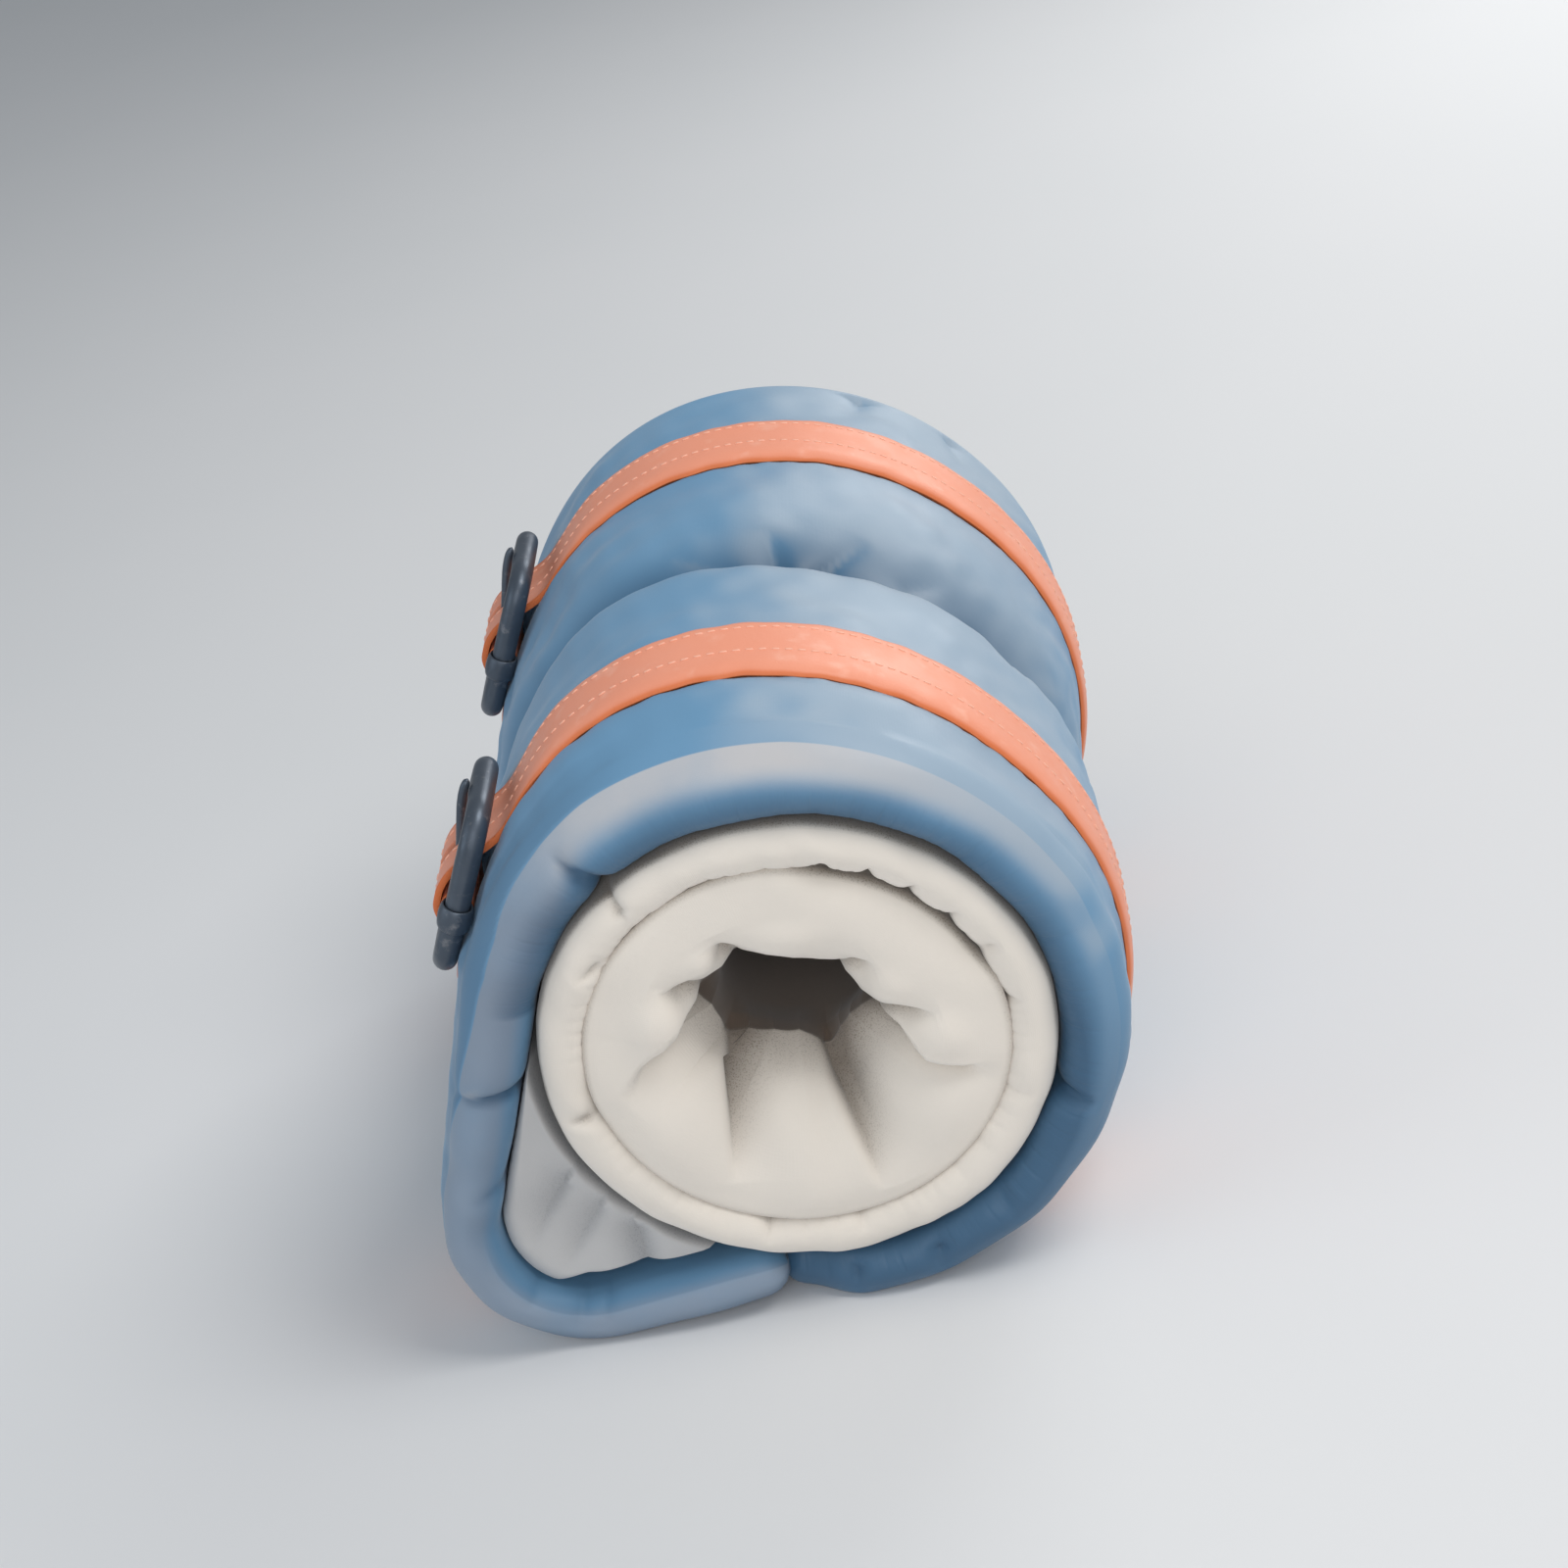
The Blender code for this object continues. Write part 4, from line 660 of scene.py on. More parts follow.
def shell_points():
    """The padded turn's grid and its painted values.

    A section with round rims runs along the turn's line. The surface is then pushed in by the straps' beds,
    the crease round the middle, drawn folds, gathers along the inner rim and smooth unevenness.
    """
    flat, normal, half, angle, run, length = turn_line(SHELL_STEP)
    start_full = end_fullness(run, TURN_THICKNESS * END_ROUND)
    full = np.minimum(start_full, end_fullness(length - run, FLAP_THICKNESS * END_ROUND))
    sunk = sink_depth(foot_run(angle, flat))
    height = np.clip(flat[:, 1] / ROLL_RADIUS, 0, 1)
    half, full, angle, run, sunk, height = (row[:, None] for row in (half, full, angle, run, sunk, height))
    across, reach, end, depth = shell_section()
    outer_side = (end == 0) & (across > 0)
    inner_side = (end == 0) & (across < 0)
    rim_depth = half * (1 - full * reach)
    along = np.where(end < 0, rim_depth, np.where(end > 0, ROLL_LENGTH - rim_depth, depth))
    along = np.where(inner_side, np.clip(along, half, ROLL_LENGTH - half), along)
    out = half * (full * across - 1) + crown_rise(angle, along) * np.clip(across, 0, 1)
    points = flat[:, None] + out[..., None] * normal[:, None]
    grid = in_place(points, along)
    near_end = 1 - smooth_step(along, TURN_THICKNESS / 2, 0.040)
    grid[..., 1] += START_TUCK * near_end * (1 - smooth_step(run, 0.010, 0.045))
    grid[..., 0] += TIP_LAP * near_end * smooth_step(run, length - 0.020, length)
    outward = surface_normals(grid, False, True)
    if (outward[:, len(across) // 3, [0, 2]] * normal).sum() < 0:
        outward = -outward
    near_rim = np.clip(1 - along / NEAR_RIM_REACH, 0, 1)
    far_rim = smooth_step(along - ROLL_LENGTH, -FAR_RIM_REACH[0], -FAR_RIM_REACH[1])
    from_strap = np.min([np.abs(along - place) for place in STRAP_PLACES], axis=0) - STRAP_WIDTH / 2

    crease, valley_shade = middle_crease(grid, along, angle, height)
    arc_run = ROLL_RADIUS * (WRINKLE_ZERO - angle) + np.zeros_like(along)
    push = crease * full + folds(arc_run, along, TOP_WRINKLES)
    push = push - swelling_by_straps(grid, along, angle, from_strap)
    bed = (STRAP_EMBED + GROOVE_CLEARANCE + SINK_ROOM * sunk) * full
    band = 1 - smooth_step(from_strap, -0.0004, 0.0016)
    free_cloth = np.clip(from_strap / FREE_CLOTH_REACH, 0, 1) * (1 - far_rim)
    push = push * (1 - band) + bed * band
    push = push - (0.0011 * swell(grid, 0.085, 1) + 0.0004 * swell(grid, 0.026, 2)) * free_cloth
    push = push * outer_side

    creases = folds(points[..., 0], points[..., 1], RIM_CREASES) * near_rim**0.5
    gathers = np.abs(np.sin(run * 2 * pi / GATHER_PITCH + 2.2 * np.sin(run * 31) + 1.7 * np.sin(run * 74)))
    inner_rim = near_rim * smooth_step(-across, -0.5, 0.6) * (angle < LEAVE_ANGLE)
    push = push + creases + 0.0005 * (1 - gathers) ** 2 * inner_rim
    push = push - 0.0009 * swell(grid, 0.045, 4) * near_rim + 0.0003 * far_rim
    grid = grid - outward * push[..., None]
    strap_room = (STRAP_THICKNESS + GROOVE_CLEARANCE) * band * outer_side
    grid[..., 2] = np.maximum(grid[..., 2], strap_room + OFF_FLOOR)
    return grid, shell_colouring(grid, run, angle, across, end, near_rim, creases, valley_shade)


def shell_cloth():
    """Blue nylon with a soft sheen, greyer along the rim where it has been handled. Painted shade darkens
    its folds, underside and left side, and a painted highlight pales it where it faces up and to the right.
    """
    cloth = Finish("shell_cloth", Sheen_Weight=0.10, Sheen_Roughness=0.4, Specular_IOR_Level=0.40)
    blue = cloth.mottled(9.0, SHELL_BLUE, SHELL_PALE_BLUE)
    # Painted highlight: a paler blue where the cloth faces up and to the right.
    highlit = cloth.painted("painted_highlight") * cloth.ramp(cloth.noise(7.0, 1.0), 0.2, 0.8, 0.62, 0.76)
    blue = cloth.mix(highlit, blue, HIGHLIGHT_BLUE)
    rubbed = cloth.painted("worn") * cloth.ramp(cloth.noise(22.0, 4.0), 0.2, 0.6, 0.75, 1.0)
    rubbed = rubbed * cloth.ramp(cloth.painted("inside_edge"), 0.485, 0.515)
    # The grey band is painted darker along the left side, as shade.
    worn = cloth.mix(rubbed, blue, cloth.mix(cloth.painted("left_band_shade"), RUBBED_GREY, SHADED_BAND_GREY))
    # Painted shade: dark blue in the folds, the crease's valley, under the turn and on the left side.
    colour = cloth.mix(cloth.painted("painted_shade") * 0.85, worn, SHADOW_BLUE)
    run = cloth.node("ShaderNodeSeparateXYZ", {}, {0: cloth.cloth_map()})
    sockets = {"W": run, "Scale": 170.0, "Detail": 1.5}
    tucks = cloth.node("ShaderNodeTexNoise", {"noise_dimensions": "1D"}, sockets)
    height = cloth.threads(0.0007, 0.00006) + cloth.noise(260.0) * 0.00012 + cloth.noise(40.0, 4.0) * 0.0006
    height = height + cloth.ramp(tucks, 0.25, 0.55) * cloth.painted("gathered") * 0.0006
    return cloth.finish(colour, cloth.uneven(30.0, 0.44, 0.56), height)


shell_grid, shell_paint = shell_points()
shell = grid_piece("shell", shell_grid, shell_cloth(), paint=shell_paint)
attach(shell, "roll")
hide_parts("outer_turn")


# Outer lining turn.
# The cream cotton lining shows inside the shell as a padded ring. Its edge is sewn with small gathers and
# scallops where the stitching pulls it in.
LAYER_GAP = 0.0004
LINING_THICKNESS = 0.0235
LINING_RECESS = 0.001
LINING_RIM = 0.022
LINING_CENTRE = np.array([0, -LINING_DROP])
OUTER_LINING_RADIUS = ROLL_RADIUS - TURN_THICKNESS - LAYER_GAP
LINING_CREASES = [
    (-59, 87, -66, 100, 5.2, 5, 2.4),
    (-75.8, 59, -88, 54, 4.6, 2.2, 5),
    (-99.5, -20, -115, -21.5, 5.6, 2.2, 5),
    (-33.6, -95, -37.4, -108, 3, 3.6, 2.6),
    (8, -99, 9, -111, 2.2, 3, 3),
    (92, 30, 100, 33, 3.6, 2.8, 2.8),
    (79.5, 48, 86, 53, 4, 3, 2.6),
    (65, 65, 70.5, 71, 4.2, 2.6, 3),
    (49, 76, 53, 84, 4.2, 3, 2.6),
    (31, 85, 33, 92, 3.6, 2.6, 2.8),
    (95, 1, 105, 1, 2.8, 3.4, 3.4),
    (89, -46, 101, -52, 2.4, 3.4, 3.4),
]


CREAM_LIGHT = (0.800, 0.740, 0.665, 1)
CREAM_SHADE = (0.755, 0.695, 0.620, 1)
# Colour of the painted shade in the cream's folds and hollows.
CREAM_SHADOW = (0.120, 0.092, 0.068, 1)
# Dark brown painted down the core, where it lies in shadow: a painted shadow.
HOLE_SHADOW_BROWN = (0.130, 0.094, 0.068, 1)


def lining_cloth(name, light, shade, painted_shade):
    """Brushed cotton with a soft nap: painted shade in the folds and hollows, with grain that shows in that
    painted shade.
    """
    cloth = Finish(name, Sheen_Weight=0.35, Sheen_Roughness=0.6, Specular_IOR_Level=0.2)
    grain = cloth.noise(1500.0, 2.0)
    # Painted shade: grain specks and a darker colour wherever the piece paints its shade.
    shade_specks = cloth.ramp(grain, 0.52, 0.66, 0.0, 0.75) * cloth.painted("painted_shade")
    speckled = cloth.mix(shade_specks, cloth.mottled(14.0, light, shade), painted_shade)
    shaded = cloth.mix(cloth.painted("painted_shade") * 0.85, speckled, painted_shade)
    # Painted shadow: dark brown down the hollow core.
    colour = cloth.mix(cloth.painted("core"), shaded, HOLE_SHADOW_BROWN)
    height = cloth.threads(0.0009, 0.0001) + cloth.noise(420.0) * 0.0002 + cloth.noise(60.0, 4.0) * 0.0003
    return cloth.finish(colour, cloth.ramp(grain, 0.3, 0.7, 0.78, 0.88), height)


def outer_lining_points():
    """A padded sleeve: a full round rim at each end, pushed in by drawn creases and fine gathers."""
    angle = np.linspace(0, 2 * pi, 480, endpoint=False)[:, None]
    half = LINING_THICKNESS / 2
    rim = np.radians(np.linspace(90, -90, 29))
    side = np.linspace(0.06, 0.94, 12) * ROLL_LENGTH
    across = np.concatenate([-np.sin(rim), np.ones(len(side)), np.sin(rim), -np.ones(len(side))])
    near = LINING_RECESS + half * (1 - np.cos(rim))
    along = np.concatenate([near, side, ROLL_LENGTH - near, side[::-1]]) + 0 * angle
    radius = OUTER_LINING_RADIUS - half + half * across
    plane = LINING_CENTRE + polar(1, angle) * radius[None, :, None]
    grid = in_place(plane, along)
    outward = surface_normals(grid, True, True)
    if outward[0, len(rim) + 3, 0] < 0:
        outward = -outward
    near_rim = np.clip(1 - along / LINING_RIM, 0, 1) ** 0.5
    far_rim = np.clip(1 - (ROLL_LENGTH - along) / LINING_RIM, 0, 1) ** 0.5
    at_rim = near_rim + far_rim
    creases = folds(plane[..., 0], plane[..., 1], LINING_CREASES) * near_rim
    inner = smooth_step(-across, -0.2, 0.9)
    gather = np.abs(np.sin(angle * 33 + 2 * np.sin(angle * 5) + 1.3 * np.sin(angle * 11)))
    uneven = 0.0008 * swell(grid, 0.06, 11) + 0.0003 * swell(grid, 0.022, 12)
    push = creases + (0.0006 * (1 - gather) ** 2 * inner - uneven) * at_rim
    grid = grid - outward * push[..., None]
    # Painted shade: on the ring's sides where it turns away, and in its creases.
    side_shade = smooth_step(across, 0.80, 1.0) + 0.55 * smooth_step(-across, 0.78, 1.0)
    painted_shade = smooth_step(creases, 0.0012, 0.0055) * 0.5 + side_shade
    return grid, {"painted_shade": np.clip(painted_shade, 0, 1)}


cream_cloth = lining_cloth("cream_cloth", CREAM_LIGHT, CREAM_SHADE, CREAM_SHADOW)
outer_grid, outer_paint = outer_lining_points()
outer_lining = grid_piece("outer_lining", outer_grid, cream_cloth, wrap_rows=True, paint=outer_paint)
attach(outer_lining, "roll")
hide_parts("lining_outer_turn")


# Inner lining turn.
# The innermost turn is gathered into a mouth round the hollow core: a plump arch over the top, and below it
# three tongues of cloth that run down into the hole with deep valleys between them.
INNER_LINING_RADIUS = OUTER_LINING_RADIUS - LINING_THICKNESS - LAYER_GAP
CORE_HALF_WIDTH = 0.035
CORE_HALF_HEIGHT = 0.0225
CORE_TILT = radians(-13)
CORE_DEPTH = 0.068
MOUTH_DEPTH = 0.040
ARCH_CREST = 0.069
ARCH_FACE = 0.0015
ARCH_FALL = 0.024
TONGUE_CREST = 0.082
TONGUE_FACE = 0.0035
ARCH_ANGLES = [-20, 4, 20, 39, 49, 61, 78, 94, 109, 122, 136, 150, 190]
ARCH_EDGE_MM = [40, 38.5, 34.5, 35, 37.5, 36.5, 37, 40.2, 45.5, 43, 45.5, 45.5, 45.5]
LOW_ANGLES = [-90, -81, -68, -50, -30, -18, -10, 60, 140, 161, 171, 185, 193, 202, 227, 264, 270]
LOW_EDGE_MM = [18.5, 21.3, 26.7, 24.3, 25.8, 30.6, 35.9, 40, 44.5]
LOW_EDGE_MM += [43.8, 37.5, 35.1, 33.7, 25.4, 18.9, 17.1, 18.5]
RIM_LAP = 0.0028
MOUTH_PUFFS = [
    (-60, -20, 22, 26, 6),
    (-13, -45, 16, 28, 6),
    (45, -38, 22, 23, 6.5),
    (6, 54, 17, 12, 4),
    (45, 19, 11, 12, 4),
    (66, -6, 12, 11, 3.5),
    (-29, 50, 9, 10, 3.5),
    (-58, 24, 13, 16, 4.5),
]
ARCH_FOLDS = [
    (-15, 44, -22.5, 70, 6, 9, 9),
    (-15, 44, -23.5, 64, 6, 6, 1.5),
    (-32.5, 32, -56, 51, 6, 9, 9),
    (-32.5, 32, -54, 45, 6, 6, 1.5),
    (24.5, 29, 45, 37, 5, 8, 8),
    (24.5, 29, 43, 35, 6, 1.5, 6),
    (40, 3, 68, 7, 5, 8, 8),
    (40, 3, 65, 5.5, 6, 1.5, 6),
]
TONGUE_FOLDS = [
    (-39.5, 21, -84, -6, 7, 13, 13),
    (37.7, -1, 76, -24, 8, 12, 12),
    (74.5, -24.5, 52, -15, 6, 6, 6),
    (-32, -6, -44, -66, 13, 17, 2.2),
    (8.5, -22, 22.5, -84, 13, 19, 2.2),
]


def core_radius(angle):
    """Radius of the tilted oval core at an angle."""
    turned = angle - CORE_TILT
    return 1 / np.hypot(np.cos(turned) / CORE_HALF_WIDTH, np.sin(turned) / CORE_HALF_HEIGHT)


def mouth_profile(angle, share):
    """Radius and depth of the mouth's near face, from the gap (share 0) in to the hole's edge (share 1).

    Also returns how much each place belongs to the arch, and how open the gap round the mouth is there.
    The arch is a full half round that ends steeply; the tongues slope gently. The arch lies over the
    tongues along two lines that spiral out from the hole's corners.
    """
    wrapped = np.mod(angle + pi / 2, 2 * pi) - pi / 2
    degrees = np.degrees(wrapped)
    low_edge = np.interp(degrees, LOW_ANGLES, LOW_EDGE_MM) / 1000
    arch_edge = np.interp(degrees, ARCH_ANGLES, ARCH_EDGE_MM) / 1000
    open_gap = plateau(degrees, 8, 24, 68, 84)
    rim = INNER_LINING_RADIUS + RIM_LAP * (1 - open_gap)
    radius_arch = rim + (arch_edge - rim) * share
    radius_low = rim + (low_edge - rim) * share
    right = radians(-1) - radians(17) * np.clip((radius_arch - 0.038) / 0.022, 0, 1)
    left = radians(151) + radians(36) * np.clip((radius_arch - 0.047) / 0.040, 0, 1)
    soft = 0.0014 + 0.05 * np.maximum(radius_arch - 0.060, 0) + 0.3 * np.maximum(radius_arch - 0.076, 0)
    soft = soft / radius_arch
    arch = plateau(wrapped, right - soft, right + soft, left - soft, left + soft)
    radius = radius_low + (radius_arch - radius_low) * arch
    outer_fall = 0.0045 + 0.006 * open_gap
    arch_depth = ARCH_FACE + outer_fall * quarter_drop((radius - ARCH_CREST) / (rim - ARCH_CREST))
    arch_depth = arch_depth + ARCH_FALL * quarter_drop((ARCH_CREST - radius) / (ARCH_CREST - arch_edge))
    to_gap = (radius - TONGUE_CREST) / (rim - TONGUE_CREST)
    fall = np.clip((TONGUE_CREST - radius) / (TONGUE_CREST - low_edge), 0, 1)
    tongue_depth = TONGUE_FACE + outer_fall * quarter_drop(to_gap) + (MOUTH_DEPTH - 0.004) * fall**1.7
    return radius, tongue_depth + (arch_depth - tongue_depth) * arch, arch, open_gap


def inner_lining_points():
    """A closed sleeve round the roll's axis, with its painted shade and its painted shadow down the core.

    It runs in over the near mouth, through the core, out over the far mouth and back along the side. The
    near mouth is pushed in by its folds and stands out at its puffs.
    """
    angle = np.linspace(0, 2 * pi, 600, endpoint=False)[:, None]
    share = np.linspace(0, 1, 84) ** 0.9
    radius, depth, arch, open_gap = mouth_profile(angle, share[None])
    near = polar(1, angle) * radius[..., None]
    arch_creases = folds(near[..., 0], near[..., 1], ARCH_FOLDS) * arch
    tongue_creases = folds(near[..., 0], near[..., 1], TONGUE_FOLDS) * (1 - arch)
    creases = arch_creases + tongue_creases
    level_edge = 1 - 0.75 * smooth_step(share, 0.78, 0.98)
    uneven = swell(in_place(near, depth), 0.060, 21) * 0.0009
    fade = np.clip(share * 8, 0, 1)[None]
    push = ((creases - puffs(near[..., 0], near[..., 1], MOUTH_PUFFS)) * level_edge + uneven) * fade
    core = core_radius(angle)
    throat = np.linspace(0, 1, 26)[None, 1:]
    throat_radius = radius[:, -1:] + (core - radius[:, -1:]) * smooth_step(throat, 0, 1)
    throat_depth = depth[:, -1:] + (CORE_DEPTH - depth[:, -1:]) * throat
    far_radius = radius[:, ::-1][:, ::2]
    far_depth = ROLL_LENGTH - (depth + uneven * fade)[:, ::-1][:, ::2]
    core_end = ROLL_LENGTH - CORE_DEPTH
    far_throat = core + (far_radius[:, :1] - core) * throat
    far_throat_depth = core_end + (far_depth[:, :1] - core_end) * throat
    sides = np.linspace(0.95, 0.05, 8)[None] * ROLL_LENGTH + 0 * angle
    side_radius = 0 * sides + INNER_LINING_RADIUS
    all_radii = np.concatenate([radius, throat_radius, far_throat, far_radius, side_radius], axis=1)
    all_depths = np.concatenate([depth, throat_depth, far_throat_depth, far_depth, sides], axis=1)
    drop = smooth_step(all_radii, 0.045, 0.082)[..., None] * LINING_CENTRE
    grid = in_place(drop + polar(1, angle) * all_radii[..., None], all_depths)
    count = len(share)
    core_start = count + throat.shape[1]
    push = np.concatenate([push, push[:, -1:] * (1 - smooth_step(throat, 0, 0.4))], axis=1)
    outward = surface_normals(grid, True, True)[:, :core_start]
    if outward[0, count // 3, 1] > 0:
        outward = -outward
    grid[:, :core_start] -= outward * push[..., None]

    # Painted shade: in the mouth's folds, towards the hole, in the gap round the mouth and all through the
    # throat.
    painted_shade = np.zeros(all_radii.shape)
    hole_shade = 0.50 * smooth_step(depth, 0.020, 0.042) * (1 - arch)
    hole_shade += 0.35 * smooth_step(depth, 0.010, 0.028) * arch
    painted_shade[:, :count] = smooth_step(creases, 0.0015, 0.0125) * 0.75 + hole_shade
    painted_shade[:, :count] += smooth_step(0.07 - share, 0, 0.07)[None] * (0.30 + 0.70 * open_gap)
    far_mouth = core_start + throat.shape[1]
    painted_shade[:, count:far_mouth] = 1
    # Painted shadow: dark brown down the core, from just inside each mouth.
    hole_shadow = np.zeros(all_radii.shape)
    hole_shadow[:, count:core_start] = smooth_step(throat, 0, 0.08)
    hole_shadow[:, core_start:far_mouth] = smooth_step(throat[:, ::-1], 0, 0.25)
    return grid, {"painted_shade": np.clip(painted_shade, 0, 1), "core": hole_shadow}


inner_grid, inner_paint = inner_lining_points()
inner_lining = grid_piece("inner_lining", inner_grid, cream_cloth, wrap_rows=True, paint=inner_paint)
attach(inner_lining, "roll")
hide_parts("lining_inner_turn")


# Bunched lining.
# The loose end of the lining, pushed into the slack loop: a soft grey pad between the loop's inner face and
# the cream turn, creased where it is squeezed.
BUNCH_TOP = 0.26
BUNCH_TIP = 0.95
BUNCH_FACE = 0.012
BUNCH_SLOPE = 0.016
BUNCH_ROUND = 0.009
BUNCH_EDGE = 0.16
BUNCH_LIFT = 0.0060
BUNCH_LIGHT = (0.560, 0.552, 0.545, 1)
BUNCH_SHADE = (0.490, 0.486, 0.485, 1)
# Colour of the painted shade in the pad's creases and beside the cream turn.
BUNCH_SHADOW = (0.120, 0.130, 0.150, 1)
BUNCH_CREASES = [
    (-125, -62, -152, -96, 5, 3, 17),
    (-113, -80, -142, -116, 5, 3, 17),
    (-98, -96, -99, -140, 8, 7, 12),
]


def bunch_points():
    """The bunch as a tube: its section runs across the near face, down the cream turn's side and back.

    One direction goes along the slack loop's inner face, the other from that face across to the cream
    turn. The near face slopes away towards the turn.
    """
    flat, normal, half, angle, run, _ = turn_line(SHELL_STEP)
    straight = hypot(*(SLACK_CENTRE + polar(SLACK_RADIUS, LEAVE_ANGLE) - polar(ROLL_RADIUS, LEAVE_ANGLE)))
    leave_run = ROLL_RADIUS * (LEAVE_ANGLE - START_ANGLE)
    loop_end = leave_run + straight + SLACK_RADIUS * (TIP_ANGLE - LEAVE_ANGLE)
    inside = (run > leave_run + BUNCH_TOP * straight) & (run < loop_end + BUNCH_TIP * SLACK_RADIUS)
    loop_face = (flat - normal * (2 * half + LAYER_GAP)[:, None])[inside]
    below = smooth_step(angle[inside], radians(232), radians(256))
    loop_face = loop_face - normal[inside] * (BUNCH_LIFT * below)[:, None]
    ring_face = LINING_CENTRE + (ROLL_RADIUS - TURN_THICKNESS + LAYER_GAP) * unit(loop_face - LINING_CENTRE)
    share = np.linspace(0, 1, 40)
    rounding = quarter_drop(1 - np.minimum(share, 1 - share) / BUNCH_EDGE)
    near = BUNCH_FACE + BUNCH_ROUND * rounding * (1 + 1.4 * below[:, None] * (share < 0.5))
    sides = np.linspace(0.10, 0.92, 7)
    across = np.concatenate([share, 0 * sides + 1, share[::-3], 0 * sides])
    far_face = 0 * share[::3] + ROLL_LENGTH - 0.001
    rest = np.concatenate([sides * ROLL_LENGTH, far_face, sides[::-1] * ROLL_LENGTH])
    along = np.concatenate([near, np.broadcast_to(rest, (len(near), len(rest)))], axis=1)
    plane = loop_face[:, None] + (ring_face - loop_face)[:, None] * across[:, None]
    relief = folds(plane[..., 0], plane[..., 1], BUNCH_CREASES)
    uneven = 0.0014 * swell(in_place(plane, 0), 0.060, 31)
    near_face = (np.arange(len(across)) < len(share)) * np.ones_like(relief)
    from_ring = (1 - across) * np.hypot(*(ring_face - loop_face).T)[:, None]
    slope = BUNCH_SLOPE * (1 - smooth_step(from_ring, 0, 0.0075))
    grid = in_place(plane, along + near_face * (relief + uneven + slope))
    # Painted shade: in the creases and in a band beside the cream turn.
    painted_shade = smooth_step(relief, 0.001, 0.008) * 0.45 + 0.65 * (1 - smooth_step(from_ring, 0.0042, 0.0066))
    return grid, {"painted_shade": np.clip(painted_shade, 0, 1)}


bunch_cloth = lining_cloth("bunch_cloth", BUNCH_LIGHT, BUNCH_SHADE, BUNCH_SHADOW)
bunch_grid, bunch_paint = bunch_points()
bunch = grid_piece("lining_pad", bunch_grid, bunch_cloth, paint=bunch_paint)
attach(bunch, "roll")
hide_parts("lining_bunch")


# Straps.
# Two coral leather straps, each one piece. One end comes up from the slack loop and is turned back round
# the buckle's bar. The other comes down over that fold, with its hole on the prong, and ends as a tail.
LAYER_SPACE = 0.0003
TURN_BACK_THICKNESS = 0.0016
TURN_BACK_LENGTH = 0.011
TAIL_LENGTH = 0.016
TAIL_POINT = 0.014
ROD_RADIUS = 0.0058
BAR_RADIUS = 0.0040
FRAME_UPPER = 0.0500
RUNNING_GAP = 0.0003
PRONG_RADIUS = 0.0026
PRONG_TIP_RADIUS = 0.0021
PRONG_OVERHANG = 0.0040
PRONG_EYE_WALL = 0.0024
PRONG_EYE_WIDTH = 0.008
PRONG_LIFT = radians(35)
BUCKLE_ROCK = radians(5)
SLOT_CLEARANCE = 0.0009
STRAP_FILL = 0.0034
STRAP_COLUMNS_MM = [-22, -21.4, -20.3, -18.8, -16.9, -14.8, -11.8, -8.5, -4.9, -3.5]
STRAP_COLUMNS_MM += [3.5, 4.9, 8.5, 12.5, 16.5, 19, 20.5, 21.5, 22]
FOLD_CELLS_BEFORE = 12
FOLD_CELLS_AFTER = 33
STITCH_START_CELLS = 6
LEATHER_CORAL = (0.800, 0.290, 0.175, 1)
LEATHER_PALE_CORAL = (0.850, 0.340, 0.220, 1)
LEATHER_RUBBED = (0.870, 0.440, 0.320, 1)
LEATHER_EDGE = (0.680, 0.150, 0.030, 1)
THREAD_CORAL = (0.880, 0.430, 0.300, 1)
THREAD_PALE_CORAL = (0.900, 0.500, 0.370, 1)
STITCH_ROWS = (-0.0058, 0.0160)
STITCH_PITCH = 0.0056
STITCH_LENGTH = 0.0036
STITCH_RADIUS = 0.00055
CUT_EDGE_ROUNDING = 0.0007

RISE_ANGLE = BUCKLE_ANGLE - radians(21)
FOOT_NORMAL = polar(1, BUCKLE_ANGLE)
FOOT_UP = polar(1, BUCKLE_ANGLE - pi / 2)
BUCKLE_STACK = 2 * STRAP_THICKNESS + TURN_BACK_THICKNESS + 3 * LAYER_SPACE + ROD_RADIUS
FRAME_STAND = sqrt(ROLL_RADIUS**2 - LOWER_FOOT**2) - BUCKLE_SINK + BUCKLE_STACK


def buckle_point(up, out):
    """A point of the cross-section: distance up from the centre bar and out from the frame's plane."""
    up = np.asarray(up, float)[..., None]
    out = np.asarray(out, float)[..., None]
    return FOOT_NORMAL * (FRAME_STAND + out) + FOOT_UP * (up + BAR_OFFSET)


def curve_between(start, start_pull, end_pull, end, steps):
    """A cubic curve with both ends; its handles are in shares of the span between them."""
    share = np.linspace(0, 1, steps + 1)[:, None]
    rest = 1 - share
    span = np.linalg.norm(end - start)
    first, second = start + start_pull * span, end + end_pull * span
    return rest**3 * start + 3 * rest**2 * share * first + 3 * rest * share**2 * second + share**3 * end


def left_normals(points):
    """Unit normals on the left of an open path: its direction turned a quarter."""
    ahead = unit(np.gradient(points, axis=0))
    return np.stack([-ahead[:, 1], ahead[:, 0]], axis=1)


def past_foot_line(distance):
    """The cloth's outer face and normal at distances past the buckle's foot: an arc, then straight down."""
    arc_end = ROLL_RADIUS * (LEAVE_ANGLE - BUCKLE_ANGLE)
    angle = BUCKLE_ANGLE + np.minimum(distance, arc_end) / ROLL_RADIUS
    down = np.array([-sin(LEAVE_ANGLE), cos(LEAVE_ANGLE)])
    past = np.maximum(distance - arc_end, 0)[:, None]
    return polar(ROLL_RADIUS, angle) + past * down, polar(1, angle)


